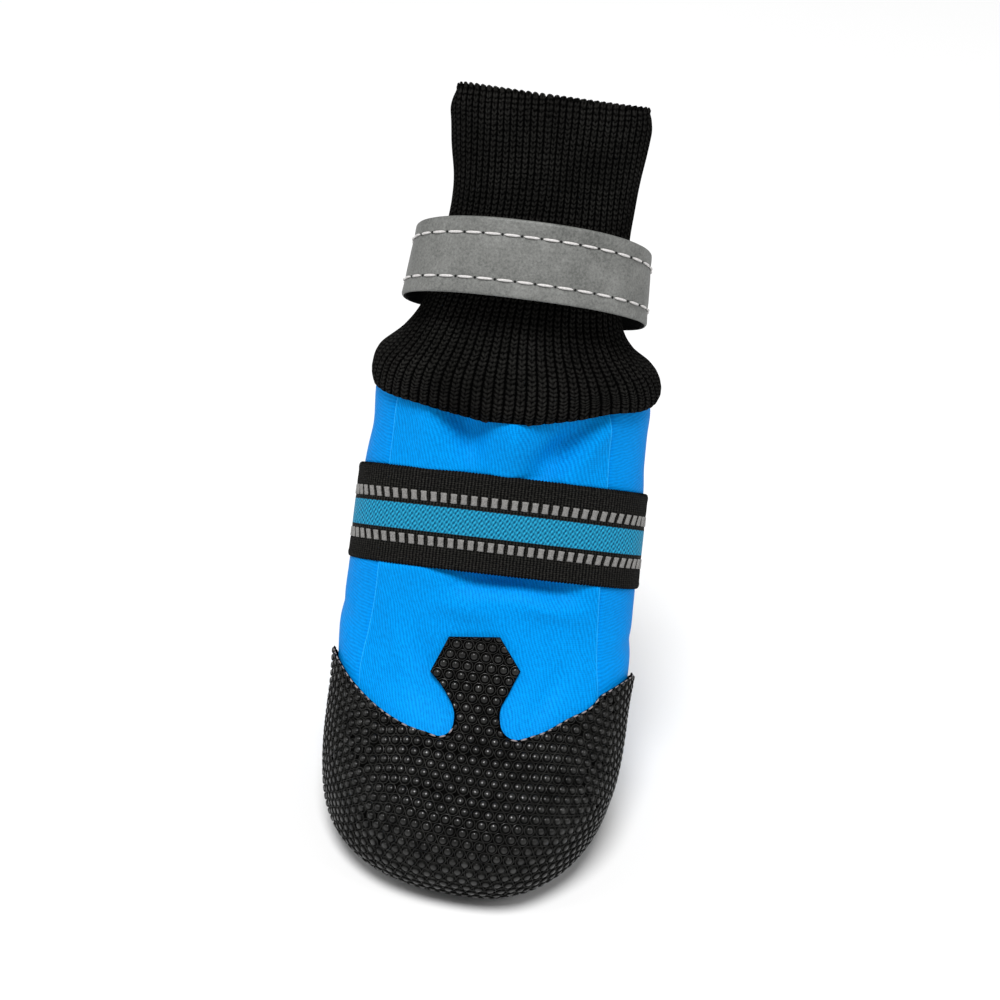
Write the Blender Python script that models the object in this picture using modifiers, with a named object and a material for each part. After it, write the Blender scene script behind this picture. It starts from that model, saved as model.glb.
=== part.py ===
"""Dog boot: a studded cup sole and toe cap on a stretch upper, with an elastic band,
a rib-knit cuff and a loose reflective strap.

The toe points to -Y and the boot stands on the ground plane at z = 0.  The upper, the
cuff and the strap are each a stack of slanted sections.  A section runs from a front
point to a back point in the middle plane and bulges to its half width on both sides.
"""
from collections import namedtuple
import math

import bmesh
import bpy
from mathutils import Vector

MM = 0.001

# Driving dimensions, in millimetres.
FABRIC = 2.2            # wall of the upper
KNIT = 1.8              # wall of the cuff
STUDDED = 1.9           # thickness of the toe cap
SOLE_WALL = 2.0         # side wall of the sole
SOLE_PLATE = 3.0        # thickness of the sole under the paw
INSOLE_THICKNESS = 2.0
INSOLE_MARGIN = 1.3     # from the upper's turned-in edge to the insole
BAND_THICKNESS = 1.3
STRAP_THICKNESS = 1.2
PATCH_THICKNESS = 0.8
GAP = 0.3               # clearance between touching pieces
TOE_SPRING = 3.0        # rise of the toe over SPRING_LENGTH
SPRING_START = 22.0     # distance ahead of the origin where the toe leaves the ground
SPRING_LENGTH = 22.0
CAP_PITCH = 35.0        # degrees above the horizon from which the cap's pattern is laid on
CAP_SIDE = 1            # facets that the cap reaches behind the widest line
POWER_BLEND = 0.8       # how quickly the front's corner powers change from left to right

# Mesh density.
AROUND = 56             # facets round the upper and the sole
CUFF_AROUND = 48
SLOPE_STEP = 0.02       # parameter step for the surface normal
WELD = 0.01             # points nearer than this are one

Section = namedtuple("Section", (
    "name front_y front_z back_y back_z half_width widest "
    "left_power right_power back_power toe_slant shift tilt"))

# Outer face of the upper, from its turned-in edge to the seam inside the cuff.
# widest is the share of the way back at which a section is widest, the powers square
# its corners, toe_slant moves its front and shift the whole of it towards +X, and
# tilt lifts its +X side.
UPPER_FORM = (
    Section("turned_in", -34.5, 3.3, 31.0, 3.3, 29.0, 0.54, 2.4, 1.8, 2.2, 4.0, -0.3, 0.0),
    Section("edge", -38.5, 4.8, 35.0, 4.8, 33.2, 0.54, 2.4, 1.8, 2.2, 4.5, -0.3, 0.0),
    Section("bumper", -41.5, 10.0, 37.5, 10.0, 36.4, 0.53, 2.5, 1.8, 2.2, 5.0, -0.2, 0.0),
    Section("toe_top", -41.2, 18.0, 38.8, 18.0, 37.5, 0.51, 2.5, 1.9, 2.2, 5.0, 0.0, 0.0),
    Section("vamp", -37.0, 26.0, 39.6, 24.0, 38.0, 0.49, 2.5, 2.1, 2.2, 4.5, 0.2, 0.0),
    Section("vamp_top", -29.0, 33.0, 40.2, 29.0, 38.2, 0.47, 2.5, 2.2, 2.2, 3.5, 0.4, 0.0),
    Section("instep", -19.5, 41.0, 40.8, 35.0, 38.2, 0.45, 2.4, 2.3, 2.2, 2.2, 0.5, 0.0),
    Section("cap_ears", -11.0, 50.0, 41.4, 41.0, 38.3, 0.45, 2.4, 2.4, 2.2, 1.0, 0.6, 0.0),
    Section("tab_top", -5.0, 61.0, 42.0, 46.5, 38.0, 0.45, 2.4, 2.4, 2.2, 0.3, 0.6, 0.0),
    Section("band_low", 0.0, 78.0, 43.3, 52.5, 37.4, 0.45, 2.4, 2.4, 2.2, 0.0, 0.4, 0.0),
    Section("band_high", 4.0, 104.0, 46.0, 78.5, 36.4, 0.47, 2.4, 2.4, 2.2, 0.0, 0.4, 0.0),
    Section("under_skirt", 6.5, 118.5, 46.8, 109.5, 34.7, 0.50, 2.4, 2.4, 2.2, 0.0, 0.6, 0.0),
    Section("cuff_seam", 8.5, 127.5, 46.0, 122.0, 31.5, 0.50, 2.4, 2.4, 2.2, 0.0, 0.9, 0.0),
)

# Outer face of the knitted cuff, from the lip of its skirt to the collar.
CUFF_FORM = (
    Section("lip", 4.2, 119.0, 49.6, 118.6, 36.4, 0.50, 2.4, 2.4, 2.2, 0.0, 0.4, 1.2),
    Section("skirt", 3.2, 123.0, 50.2, 121.6, 36.9, 0.50, 2.4, 2.4, 2.2, 0.0, 0.5, 1.2),
    Section("bulge", 4.8, 129.5, 49.4, 123.4, 35.2, 0.50, 2.4, 2.4, 2.2, 0.0, 0.2, 0.9),
    Section("shoulder", 8.5, 136.5, 46.8, 127.0, 29.4, 0.50, 2.3, 2.3, 2.2, 0.0, 0.1, 0.4),
    Section("neck", 12.0, 143.5, 44.8, 132.5, 25.6, 0.50, 2.3, 2.3, 2.2, 0.0, 0.2, 0.0),
    Section("in_strap", 16.0, 154.0, 43.5, 144.0, 23.5, 0.50, 2.3, 2.3, 2.2, 0.0, 1.2, 0.0),
    Section("over_strap", 21.0, 168.0, 43.5, 161.0, 22.6, 0.50, 2.5, 2.5, 2.5, 0.0, 2.3, 0.0),
    Section("leg", 26.0, 182.0, 44.5, 177.0, 23.9, 0.50, 2.7, 2.7, 2.7, 0.0, 1.9, -0.4),
    Section("collar", 30.0, 194.5, 45.0, 190.0, 25.6, 0.50, 3.0, 3.0, 3.0, 0.0, 1.5, -0.7),
)

# Inner face of the strap's inner layer, from its lower to its upper edge.
STRAP_FORM = (
    Section("low_edge", 6.7, 151.5, 47.9, 126.5, 29.85, 0.50, 2.3, 2.3, 2.4, 0.0, 0.35, -0.4),
    Section("high_edge", 14.2, 168.5, 44.8, 145.5, 28.2, 0.50, 2.3, 2.3, 2.4, 0.0, 1.0, -0.4),
)

# Flat outlines under the paw: the tread on the ground and the floor of the sole.
TREAD = Section("tread", -28.5, 0.0, 30.5, 0.0, 27.6, 0.54, 2.4, 2.0, 2.2, 3.0, -0.3, 0.0)
FLOOR = Section("floor", -30.5, SOLE_PLATE, 31.0, SOLE_PLATE, 28.8, 0.54, 2.4, 1.9, 2.2,
                3.4, -0.3, 0.0)

# Levels of UPPER_FORM at which the solids have an edge loop.
UPPER_LEVELS = (0, 0.4, 0.9, 1.5, 2, 2.5, 3, 3.5, 4, 4.5, 5, 5.5, 6, 6.5, 7, 8, 9, 10, 11, 12)
CAP_LEVELS = (4, 4.5, 5, 5.5, 6, 6.5, 7, 8, 9)
BAND_LEVELS = (9.03, 9.5, 9.97)
CUFF_LEVELS = (0, 0.4, 1, 2, 3, 4, 5, 6, 7, 8)

# The sole's rim, as a level of UPPER_FORM: low at the toe, high at the sides and heel.
RIM_TOE = 1.25
RIM_SIDE = 3.7
RIM_FRONT_Y = -36.0
RIM_SIDE_Y = 8.0
RIM_STEPS = 7
CAP_SEAM = 0.06         # levels between the sole's rim and the cap's lower edge
CAP_SEAM_STEPS = 6      # edge loops of the cap below the first of CAP_LEVELS

# Where the strap's two ends overlap, in degrees round the strap.
STRAP_START = 255.0
STRAP_OVERLAP = 30.0
STRAP_STEPS = 60
STRAP_RISE = 25.0       # degrees over which the running end climbs onto the first layer
PATCH_START = 260.0
PATCH_END = 280.0
PATCH_STEPS = 6
PATCH_MARGIN = 0.15     # share of the strap's width left bare beside the patch

# The cap's edge in its own flat pattern: across, up, and whether the point is a corner.
PatternPoint = namedtuple("PatternPoint", "name across up corner")
CAP_PATTERN = (
    PatternPoint("left_below", -62.0, -62.0, True),
    PatternPoint("left_above", -62.0, 54.0, True),
    PatternPoint("left_ear", -41.0, 41.2, True),
    PatternPoint("left_edge", -31.5, 33.2, False),
    PatternPoint("left_dip", -20.0, 25.0, False),
    PatternPoint("left_lobe", -9.5, 21.6, False),
    PatternPoint("left_neck", -5.5, 28.5, False),
    PatternPoint("left_head", -12.9, 36.6, True),
    PatternPoint("left_top", -8.4, 46.4, True),
    PatternPoint("right_top", 3.6, 47.4, True),
    PatternPoint("right_head", 10.9, 39.6, True),
    PatternPoint("right_neck", 5.8, 29.6, False),
    PatternPoint("right_lobe", 11.8, 22.3, False),
    PatternPoint("right_dip", 22.0, 27.4, False),
    PatternPoint("right_edge", 32.1, 35.4, False),
    PatternPoint("right_ear", 41.6, 42.4, True),
    PatternPoint("right_above", 62.0, 54.0, True),
    PatternPoint("right_below", 62.0, -62.0, True),
)
PATTERN_RESOLUTION = 4  # points per curve span
PATTERN_REACH = 90.0    # half the cutter's depth

Finish = namedtuple("Finish", "colour roughness metallic")
FINISHES = {
    "sole": Finish((0.014, 0.014, 0.014), 0.55, 0.0),
    "toe_cap": Finish((0.018, 0.018, 0.018), 0.50, 0.0),
    "upper": Finish((0.0, 0.26, 0.95), 0.70, 0.0),
    "insole": Finish((0.08, 0.08, 0.085), 0.90, 0.0),
    "instep_band": Finish((0.02, 0.06, 0.08), 0.80, 0.0),
    "cuff": Finish((0.012, 0.012, 0.013), 0.92, 0.0),
    "cuff_strap": Finish((0.25, 0.26, 0.25), 0.50, 0.0),
    "strap_fastener": Finish((0.02, 0.02, 0.02), 0.95, 0.0),
}


def clear_scene():
    """Remove every object of the open file."""
    for obj in list(bpy.data.objects):
        bpy.data.objects.remove(obj, do_unlink=True)


def new_collection(name):
    """Make a collection under the scene's own."""
    collection = bpy.data.collections.new(name)
    bpy.context.scene.collection.children.link(collection)
    return collection


def finish_material(name):
    """Make the Principled material of one sub-part."""
    finish = FINISHES[name]
    material = bpy.data.materials.new(name)
    material.use_nodes = True
    shader = material.node_tree.nodes["Principled BSDF"]
    shader.inputs["Base Color"].default_value = (*finish.colour, 1.0)
    shader.inputs["Roughness"].default_value = finish.roughness
    shader.inputs["Metallic"].default_value = finish.metallic
    return material


# --- the form ---------------------------------------------------------------------------

def blend(before, start, end, after, share):
    """Catmull-Rom value between start and end."""
    return 0.5 * (2 * start + (end - before) * share
                  + (2 * before - 5 * start + 4 * end - after) * share ** 2
                  + (3 * start - before - 3 * end + after) * share ** 3)


def section_at(form, level):
    """The section of a form at a fractional level, where whole levels are its rows."""
    last = len(form) - 1
    level = min(max(level, 0.0), last)
    row = min(int(level), last - 1)
    share = level - row
    values = []
    for start, end, before, after in zip(form[row][1:], form[row + 1][1:],
                                         form[max(row - 1, 0)][1:],
                                         form[min(row + 2, last)][1:]):
        if row == 0:
            before = 2 * start - end
        if row + 1 == last:
            after = 2 * end - start
        values.append(blend(before, start, end, after, share))
    return Section("", *values)


def signed_power(value, exponent):
    """A power that keeps the sign of its base."""
    return math.copysign(abs(value) ** exponent, value)


def section_point(section, angle):
    """The point of a section at an angle: 0 is +X, a quarter turn is the toe."""
    side, fore = math.cos(angle), math.sin(angle)
    share = min(max(0.5 + POWER_BLEND * side, 0.0), 1.0)
    share = share * share * (3.0 - 2.0 * share)
    power = section.back_power
    end_y, end_z, slant = section.back_y, section.back_z, 0.0
    if fore >= 0.0:
        power = section.left_power + (section.right_power - section.left_power) * share
        end_y, end_z, slant = section.front_y, section.front_z, section.toe_slant
    x = section.half_width * signed_power(side, 2.0 / power)
    reach = abs(fore) ** (2.0 / power)
    mid_y = section.front_y + (section.back_y - section.front_y) * section.widest
    mid_z = section.front_z + (section.back_z - section.front_z) * section.widest
    y = mid_y + (end_y - mid_y) * reach
    z = mid_z + (end_z - mid_z) * reach + section.tilt * x / section.half_width
    z += TOE_SPRING * (max(-y - SPRING_START, 0.0) / SPRING_LENGTH) ** 2
    return Vector((x + slant * reach ** 2 + section.shift, y, z))


def form_point(form, level, angle, offset=0.0):
    """A point of a form, moved outwards along the surface normal by offset."""
    here = section_point(section_at(form, level), angle)
    if offset == 0.0:
        return here * MM
    top = len(form) - 1
    up = (section_point(section_at(form, min(level + SLOPE_STEP, top)), angle)
          - section_point(section_at(form, max(level - SLOPE_STEP, 0.0)), angle))
    along = (section_point(section_at(form, level), angle + SLOPE_STEP)
             - section_point(section_at(form, level), angle - SLOPE_STEP))
    return (here + up.cross(along).normalized() * offset) * MM


def turn(count):
    """Angles of a closed turn, with the first one again at the end."""
    return [math.tau * step / count for step in range(count + 1)]


def ring(form, level, offset=0.0, count=AROUND):
    """A closed ring of a form's points."""
    return [form_point(form, level, angle, offset) for angle in turn(count)]


# --- mesh builders ----------------------------------------------------------------------

def loft(rings):
    """A skin through rings of equally many points; coinciding ends are welded."""
    skin = bmesh.new()
    bmesh.ops.create_grid(skin, x_segments=len(rings[0]) - 1, y_segments=len(rings) - 1)
    points = [point for one in rings for point in one]
    for vertex, point in zip(list(skin.verts), points):
        vertex.co = point
    bmesh.ops.remove_doubles(skin, verts=skin.verts, dist=WELD * MM)
    bmesh.ops.reverse_faces(skin, faces=skin.faces)
    return skin


def add_piece(name, skin, collection):
    """Turn a skin into the object of one sub-part."""
    mesh = bpy.data.meshes.new(name)
    skin.to_mesh(mesh)
    skin.free()
    mesh.materials.append(finish_material(name))
    piece = bpy.data.objects.new(name, mesh)
    collection.objects.link(piece)
    return piece


def close_ends(skin):
    """Cap the open ends of a skin with flat faces."""
    rims = [edge for edge in skin.edges if edge.is_boundary]
    bmesh.ops.holes_fill(skin, edges=rims, sides=0)
    bmesh.ops.recalc_face_normals(skin, faces=skin.faces)


def thicken(piece, thickness):
    """Give an open skin its wall, on the inside."""
    wall = piece.modifiers.new("wall", "SOLIDIFY")
    wall.thickness = thickness * MM
    wall.offset = -1.0
    wall.use_even_offset = True
    wall.use_quality_normals = True


# --- sub-parts --------------------------------------------------------------------------

def rim_level(angle):
    """Level of the sole's rim at an angle round the boot."""
    y = section_point(section_at(UPPER_FORM, RIM_SIDE), angle).y
    share = min(max((y - RIM_FRONT_Y) / (RIM_SIDE_Y - RIM_FRONT_Y), 0.0), 1.0)
    share = share * share * (3.0 - 2.0 * share)
    return RIM_TOE + (RIM_SIDE - RIM_TOE) * share


def rim_ring(share, offset):
    """A ring of the sole's side wall, a share of the way from the floor to the rim."""
    return [form_point(UPPER_FORM, rim_level(angle) * share, angle, offset)
            for angle in turn(AROUND)]


def flat_ring(section):
    """A flat outline under the paw, which the toe spring leaves on its plane."""
    points = [section_point(section, angle) for angle in turn(AROUND)]
    return [Vector((point.x, point.y, section.front_z)) * MM for point in points]


def add_sole(collection):
    """The cup sole: tread, outer wall, rim, inner wall and floor."""
    rings = [flat_ring(TREAD)]
    for step in range(RIM_STEPS + 1):
        rings.append(rim_ring(step / RIM_STEPS, GAP + SOLE_WALL))
    for step in range(RIM_STEPS, -1, -1):
        rings.append(rim_ring(step / RIM_STEPS, GAP))
    rings.append(flat_ring(FLOOR))
    skin = loft(rings)
    close_ends(skin)
    return add_piece("sole", skin, collection)


def add_insole(collection):
    """The pad that fills the upper's opening and lies on the sole's floor."""
    section = UPPER_FORM[0]
    section = section._replace(
        front_y=section.front_y + INSOLE_MARGIN + TOE_SPRING,
        back_y=section.back_y - INSOLE_MARGIN,
        half_width=section.half_width - INSOLE_MARGIN,
        front_z=SOLE_PLATE + GAP)
    low = flat_ring(section)
    high = [point + Vector((0.0, 0.0, INSOLE_THICKNESS * MM)) for point in low]
    skin = loft([low, high])
    close_ends(skin)
    return add_piece("insole", skin, collection)


def add_upper(collection):
    """The fabric shell, open at the cuff and where the sole closes it."""
    skin = loft([ring(UPPER_FORM, level) for level in UPPER_LEVELS])
    upper = add_piece("upper", skin, collection)
    thicken(upper, FABRIC)
    return upper


def cap_angles():
    """Angles across the front of the boot, from just behind one side to the other."""
    steps = range(-CAP_SIDE, AROUND // 2 + CAP_SIDE + 1)
    return [math.tau * step / AROUND for step in steps]


def cap_rings(angles, offset):
    """Rings of the cap's outer face, from the sole's rim to above its tab."""
    rings = []
    for step in range(CAP_SEAM_STEPS):
        rings.append([])
        for angle in angles:
            low = rim_level(angle) + CAP_SEAM
            level = low + (CAP_LEVELS[0] - low) * step / CAP_SEAM_STEPS
            rings[-1].append(form_point(UPPER_FORM, level, angle, offset))
    for level in CAP_LEVELS:
        rings.append([form_point(UPPER_FORM, level, angle, offset) for angle in angles])
    return rings


def pattern_cutter(collection):
    """The cap's flat pattern as a deep prism, seen from CAP_PITCH above the horizon."""
    curve = bpy.data.curves.new("cap_pattern", "CURVE")
    curve.dimensions = "2D"
    curve.fill_mode = "BOTH"
    curve.extrude = PATTERN_REACH * MM
    curve.resolution_u = PATTERN_RESOLUTION
    spline = curve.splines.new("BEZIER")
    spline.use_cyclic_u = True
    spline.bezier_points.add(len(CAP_PATTERN) - 1)
    for knot, point in zip(spline.bezier_points, CAP_PATTERN):
        knot.co = Vector((point.across, point.up, 0.0)) * MM
        handle = "VECTOR" if point.corner else "AUTO"
        knot.handle_left_type = handle
        knot.handle_right_type = handle
    drawn = bpy.data.objects.new("cap_pattern_curve", curve)
    collection.objects.link(drawn)
    drawn.rotation_euler.x = math.radians(90.0 - CAP_PITCH)
    bpy.context.view_layer.update()
    evaluated = drawn.evaluated_get(bpy.context.evaluated_depsgraph_get())
    mesh = bpy.data.meshes.new_from_object(evaluated)
    place = drawn.matrix_world.copy()
    bpy.data.objects.remove(drawn, do_unlink=True)
    solid = bmesh.new()
    solid.from_mesh(mesh)
    bmesh.ops.remove_doubles(solid, verts=solid.verts, dist=WELD * MM)
    bmesh.ops.recalc_face_normals(solid, faces=solid.faces)
    solid.to_mesh(mesh)
    solid.free()
    cutter = bpy.data.objects.new("cap_pattern", mesh)
    cutter.matrix_world = place
    cutter.display_type = "WIRE"
    cutter.hide_render = True
    collection.objects.link(cutter)
    return cutter


def add_toe_cap(collection, cutters):
    """The studded overlay with its puzzle tab, a little proud of the upper."""
    rings = cap_rings(cap_angles(), GAP + STUDDED)
    cap = add_piece("toe_cap", loft(rings), collection)
    thicken(cap, STUDDED)
    cut = cap.modifiers.new("pattern", "BOOLEAN")
    cut.operation = "INTERSECT"
    cut.solver = "EXACT"
    cut.object = pattern_cutter(cutters)
    return cap


def add_band(collection):
    """The woven elastic band round the instep."""
    skin = loft([ring(UPPER_FORM, level, GAP + BAND_THICKNESS) for level in BAND_LEVELS])
    band = add_piece("instep_band", skin, collection)
    thicken(band, BAND_THICKNESS)
    return band


def add_cuff(collection):
    """The knitted cuff, whose skirt hangs over the top of the upper."""
    skin = loft([ring(CUFF_FORM, level, count=CUFF_AROUND) for level in CUFF_LEVELS])
    cuff = add_piece("cuff", skin, collection)
    thicken(cuff, KNIT)
    return cuff


def strap_rings(start, end, steps, inner, outer, low=0.0, high=1.0):
    """Four corner lines of a flat strip along the strap, each from start to end.

    inner and outer give the strip's two faces at an angle, as offsets from STRAP_FORM.
    """
    lines = []
    for level, face in ((low, inner), (high, inner), (high, outer), (low, outer)):
        line = []
        for step in range(steps + 1):
            angle = math.radians(start + (end - start) * step / steps)
            line.append(form_point(STRAP_FORM, level, angle, face(math.degrees(angle))))
        lines.append(line)
    lines.append(lines[0])
    return lines


def strap_lift(angle):
    """How far the strap's running end stands off its first layer, at an angle."""
    clear = 2 * GAP + PATCH_THICKNESS + STRAP_THICKNESS
    share = (angle - (STRAP_START + 360.0 - STRAP_RISE)) / STRAP_RISE
    share = min(max(share, 0.0), 1.0)
    return clear * share * share * (3.0 - 2.0 * share)


def add_strap(collection):
    """The loose strap, whose running end lies over its first layer at the back."""
    skin = loft(strap_rings(
        STRAP_START, STRAP_START + 360.0 + STRAP_OVERLAP, STRAP_STEPS,
        strap_lift, lambda angle: strap_lift(angle) + STRAP_THICKNESS))
    close_ends(skin)
    return add_piece("cuff_strap", skin, collection)


def add_fastener(collection):
    """The hook-and-loop patch between the strap's two layers."""
    face = GAP + STRAP_THICKNESS
    skin = loft(strap_rings(
        PATCH_START, PATCH_END, PATCH_STEPS, lambda angle: face,
        lambda angle: face + PATCH_THICKNESS, PATCH_MARGIN, 1.0 - PATCH_MARGIN))
    close_ends(skin)
    return add_piece("strap_fastener", skin, collection)


def main():
    """Build the boot."""
    clear_scene()
    boot = new_collection("dog_boot")
    cutters = new_collection("cutters")
    add_sole(boot)
    add_insole(boot)
    add_upper(boot)
    add_toe_cap(boot, cutters)
    add_band(boot)
    add_cuff(boot)
    add_strap(boot)
    add_fastener(boot)


if __name__ == "__main__":
    main()
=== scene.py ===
"""Looks of a dog boot: a studded sole and toe cap, a stretch upper with sewn front panel,
a woven instep band, a rib-knit cuff and a loose reflective strap.

Each piece is draped over the stack of sections that its solid follows.  Lengths are in
millimetres until a mesh is made, the toe points to -Y and the ground is at z = 0.
"""

import logging
import math
from dataclasses import dataclass, field
from enum import Enum
from typing import Iterable, Mapping, NamedTuple, Sequence

import bmesh
import bpy
import numpy as np
from mathutils import Matrix, Vector, noise
from mathutils.bvhtree import BVHTree
from mathutils.kdtree import KDTree


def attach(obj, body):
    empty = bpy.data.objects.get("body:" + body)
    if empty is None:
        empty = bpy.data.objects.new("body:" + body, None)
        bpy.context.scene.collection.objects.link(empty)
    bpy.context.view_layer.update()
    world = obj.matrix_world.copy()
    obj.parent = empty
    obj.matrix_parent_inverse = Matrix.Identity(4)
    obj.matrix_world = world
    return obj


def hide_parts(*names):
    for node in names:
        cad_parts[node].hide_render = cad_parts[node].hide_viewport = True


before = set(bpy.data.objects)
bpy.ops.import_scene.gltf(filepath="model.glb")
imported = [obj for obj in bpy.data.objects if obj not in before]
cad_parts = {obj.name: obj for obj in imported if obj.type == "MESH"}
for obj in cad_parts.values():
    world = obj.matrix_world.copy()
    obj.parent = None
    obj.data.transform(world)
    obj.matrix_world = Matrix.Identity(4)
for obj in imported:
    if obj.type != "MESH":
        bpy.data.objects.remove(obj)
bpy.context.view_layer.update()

Array = np.ndarray
Mesh = bpy.types.Mesh
Socket = bpy.types.NodeSocket
Pair = tuple[float, float]
Triple = tuple[float, float, float]
Colour = Triple

MM = 0.001
BODY = "root"
CLOTH_MAP = "cloth"     # a piece's own map, in metres along and up its cloth
SLOPE_STEP = 0.02       # parameter step for a surface's slopes
WELD = 0.004            # points nearer than this are one
SHARP = 60.0            # degrees from which an edge of a stud or a stitch stays sharp
OUTLINE_STEP = 0.35     # between points of the cap's outline
TURN = math.tau
FRONT = math.pi / 2     # angle of the toe
BACK = 3 * math.pi / 2  # angle of the heel

# Sizes that the solids share.
GAP = 0.3
FABRIC = 2.2
KNIT = 1.8
STRAP_THICKNESS = 1.2
PATCH_THICKNESS = 0.8
TOE_SPRING = 3.0
SPRING_START = 22.0
SPRING_LENGTH = 22.0
CAP_PITCH = math.radians(35.0)
POWER_BLEND = 0.8
SHAFT_RADIUS = 37.0     # of the upper behind and in front, to turn angles into lengths

BLACK: Colour = (0.0005, 0.0005, 0.0005)

log = logging.getLogger("dog_boot")


# --- numbers ----------------------------------------------------------------------------

def ease(value: Array | float) -> Array:
    """Smooth step from 0 to 1 as value goes from 0 to 1."""
    value = np.clip(value, 0.0, 1.0)
    return value * value * (3.0 - 2.0 * value)


def hump(distance: Array, width: float) -> Array:
    """A rounded hump of height 1 that fades over width."""
    return np.exp(-(distance / width) ** 2)


def unit(vectors: Array) -> Array:
    """Vectors scaled to length 1."""
    return vectors / np.maximum(np.linalg.norm(vectors, axis=-1, keepdims=True), 1e-12)


def run_length(points: Array, axis: int) -> Array:
    """Length run from the first point along an axis of a grid of points.

    Args:
        points: Grid of points.
        axis: 0 to run up it, 1 to run across it.

    Returns:
        The length at each point.
    """
    steps = np.linalg.norm(np.diff(points, axis=axis), axis=-1)
    start = np.zeros_like(np.take(steps, [0], axis=axis))
    return np.cumsum(np.concatenate([start, steps], axis=axis), axis=axis)


def path_length(points: Array) -> Array:
    """Length run along a line of points."""
    return run_length(points[None], 1)[0]


def drift(points: Array, scale: float, seed: float = 0.0) -> Array:
    """Smooth noise from -1 to 1 at points, with features about scale long.

    Args:
        points: Any grid of points by 3.
        scale: Length of a feature.
        seed: Shift that gives another noise.

    Returns:
        The noise, in the shape of the grid.
    """
    flat = points.reshape(-1, 3) / scale + seed
    values = np.array([noise.noise(Vector(point)) for point in flat])
    return values.reshape(points.shape[:-1])


# --- forms ------------------------------------------------------------------------------

class Section(NamedTuple):
    """A slanted outline from a front point to a back point, bulging to its half width.

    widest is the share of the way back at which it is widest, the powers square its
    corners, toe_slant moves its front and shift the whole of it towards +X, and tilt
    lifts its +X side.
    """

    front_y: float
    front_z: float
    back_y: float
    back_z: float
    half_width: float
    widest: float
    left_power: float
    right_power: float
    back_power: float
    toe_slant: float
    shift: float
    tilt: float


class Form:
    """A smooth surface through a stack of sections."""

    def __init__(self, rows: Sequence[Section]) -> None:
        """Keep the rows, with one more beyond each end.

        Args:
            rows: The sections, from the lowest.
        """
        table = np.array(rows, float)
        self.top = float(len(rows) - 1)
        self.rows = np.vstack([2 * table[0] - table[1], table, 2 * table[-1] - table[-2]])

    def section(self, level: Array) -> Array:
        """The sections at fractional levels, where whole levels are the rows.

        Args:
            level: Fractional levels.

        Returns:
            A section for each.
        """
        level = np.clip(level, 0.0, self.top)
        row = np.minimum(level.astype(int), int(self.top) - 1)
        share = (level - row)[..., None]
        before, start, end, after = (self.rows[row + step] for step in range(4))
        return 0.5 * (2 * start + (end - before) * share
                      + (2 * before - 5 * start + 4 * end - after) * share ** 2
                      + (3 * start - before - 3 * end + after) * share ** 3)

    def point(self, level: Array, angle: Array) -> Array:
        """Points of the surface: angle 0 is +X and a quarter turn is the toe."""
        level, angle = np.broadcast_arrays(np.asarray(level, float),
                                           np.asarray(angle, float))
        return outline_point(self.section(level), angle)

    def axes(self, level: Array, angle: Array) -> tuple[Array, Array, Array]:
        """Unit vectors out of the surface, up it and along its turn.

        Args:
            level: Levels.
            angle: Angles.

        Returns:
            The three unit vectors at each place.
        """
        level, angle = np.broadcast_arrays(np.asarray(level, float),
                                           np.asarray(angle, float))
        up = (self.point(level + SLOPE_STEP, angle)
              - self.point(level - SLOPE_STEP, angle))
        along = (self.point(level, angle + SLOPE_STEP)
                 - self.point(level, angle - SLOPE_STEP))
        return unit(np.cross(up, along)), unit(up), unit(along)

    def lay(self, level: Array, angle: Array, offset: Array | float = 0.0,
            rise: Array | float = 0.0) -> Array:
        """Points moved outwards by offset and up the surface by rise.

        Args:
            level: Levels.
            angle: Angles.
            offset: How far outwards.
            rise: How far up.

        Returns:
            The points.
        """
        out, up, _ = self.axes(level, angle)
        shape = out.shape[:-1]
        offset = np.broadcast_to(offset, shape)[..., None]
        rise = np.broadcast_to(rise, shape)[..., None]
        return self.point(level, angle) + out * offset + up * rise

    def stands(self, level: Array, angle: Array, offset: Array | float,
               rise: float = 0.0, upright: bool = False) -> list[Matrix]:
        """Places of shapes that stand on the surface and lie along it, or up it."""
        out, up, along = self.axes(level, angle)
        return list(map(stand, self.lay(level, angle, offset, rise), out,
                        up if upright else along))

    def even_levels(self, low: float, high: float, count: int) -> Array:
        """Levels from low to high, spaced evenly by their mean length up the surface.

        Args:
            low: First level.
            high: Last level.
            count: How many.

        Returns:
            The levels.
        """
        fine = np.linspace(low, high, 400)
        angles = np.linspace(0.0, TURN, 12, endpoint=False)
        length = run_length(self.point(fine[:, None], angles[None, :]), 0).mean(axis=1)
        return np.interp(np.linspace(0.0, length[-1], count), length, fine)

    def even_angles(self, level: float, count: int) -> Array:
        """Angles of a whole turn from +X, evenly spaced along the outline.

        Args:
            level: Level of the outline.
            count: How many steps.

        Returns:
            The angles, one more than the steps.
        """
        fine = np.linspace(0.0, TURN, 2400)
        run = path_length(self.point(level, fine))
        return np.interp(np.linspace(0.0, run[-1], count + 1), run, fine)


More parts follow.
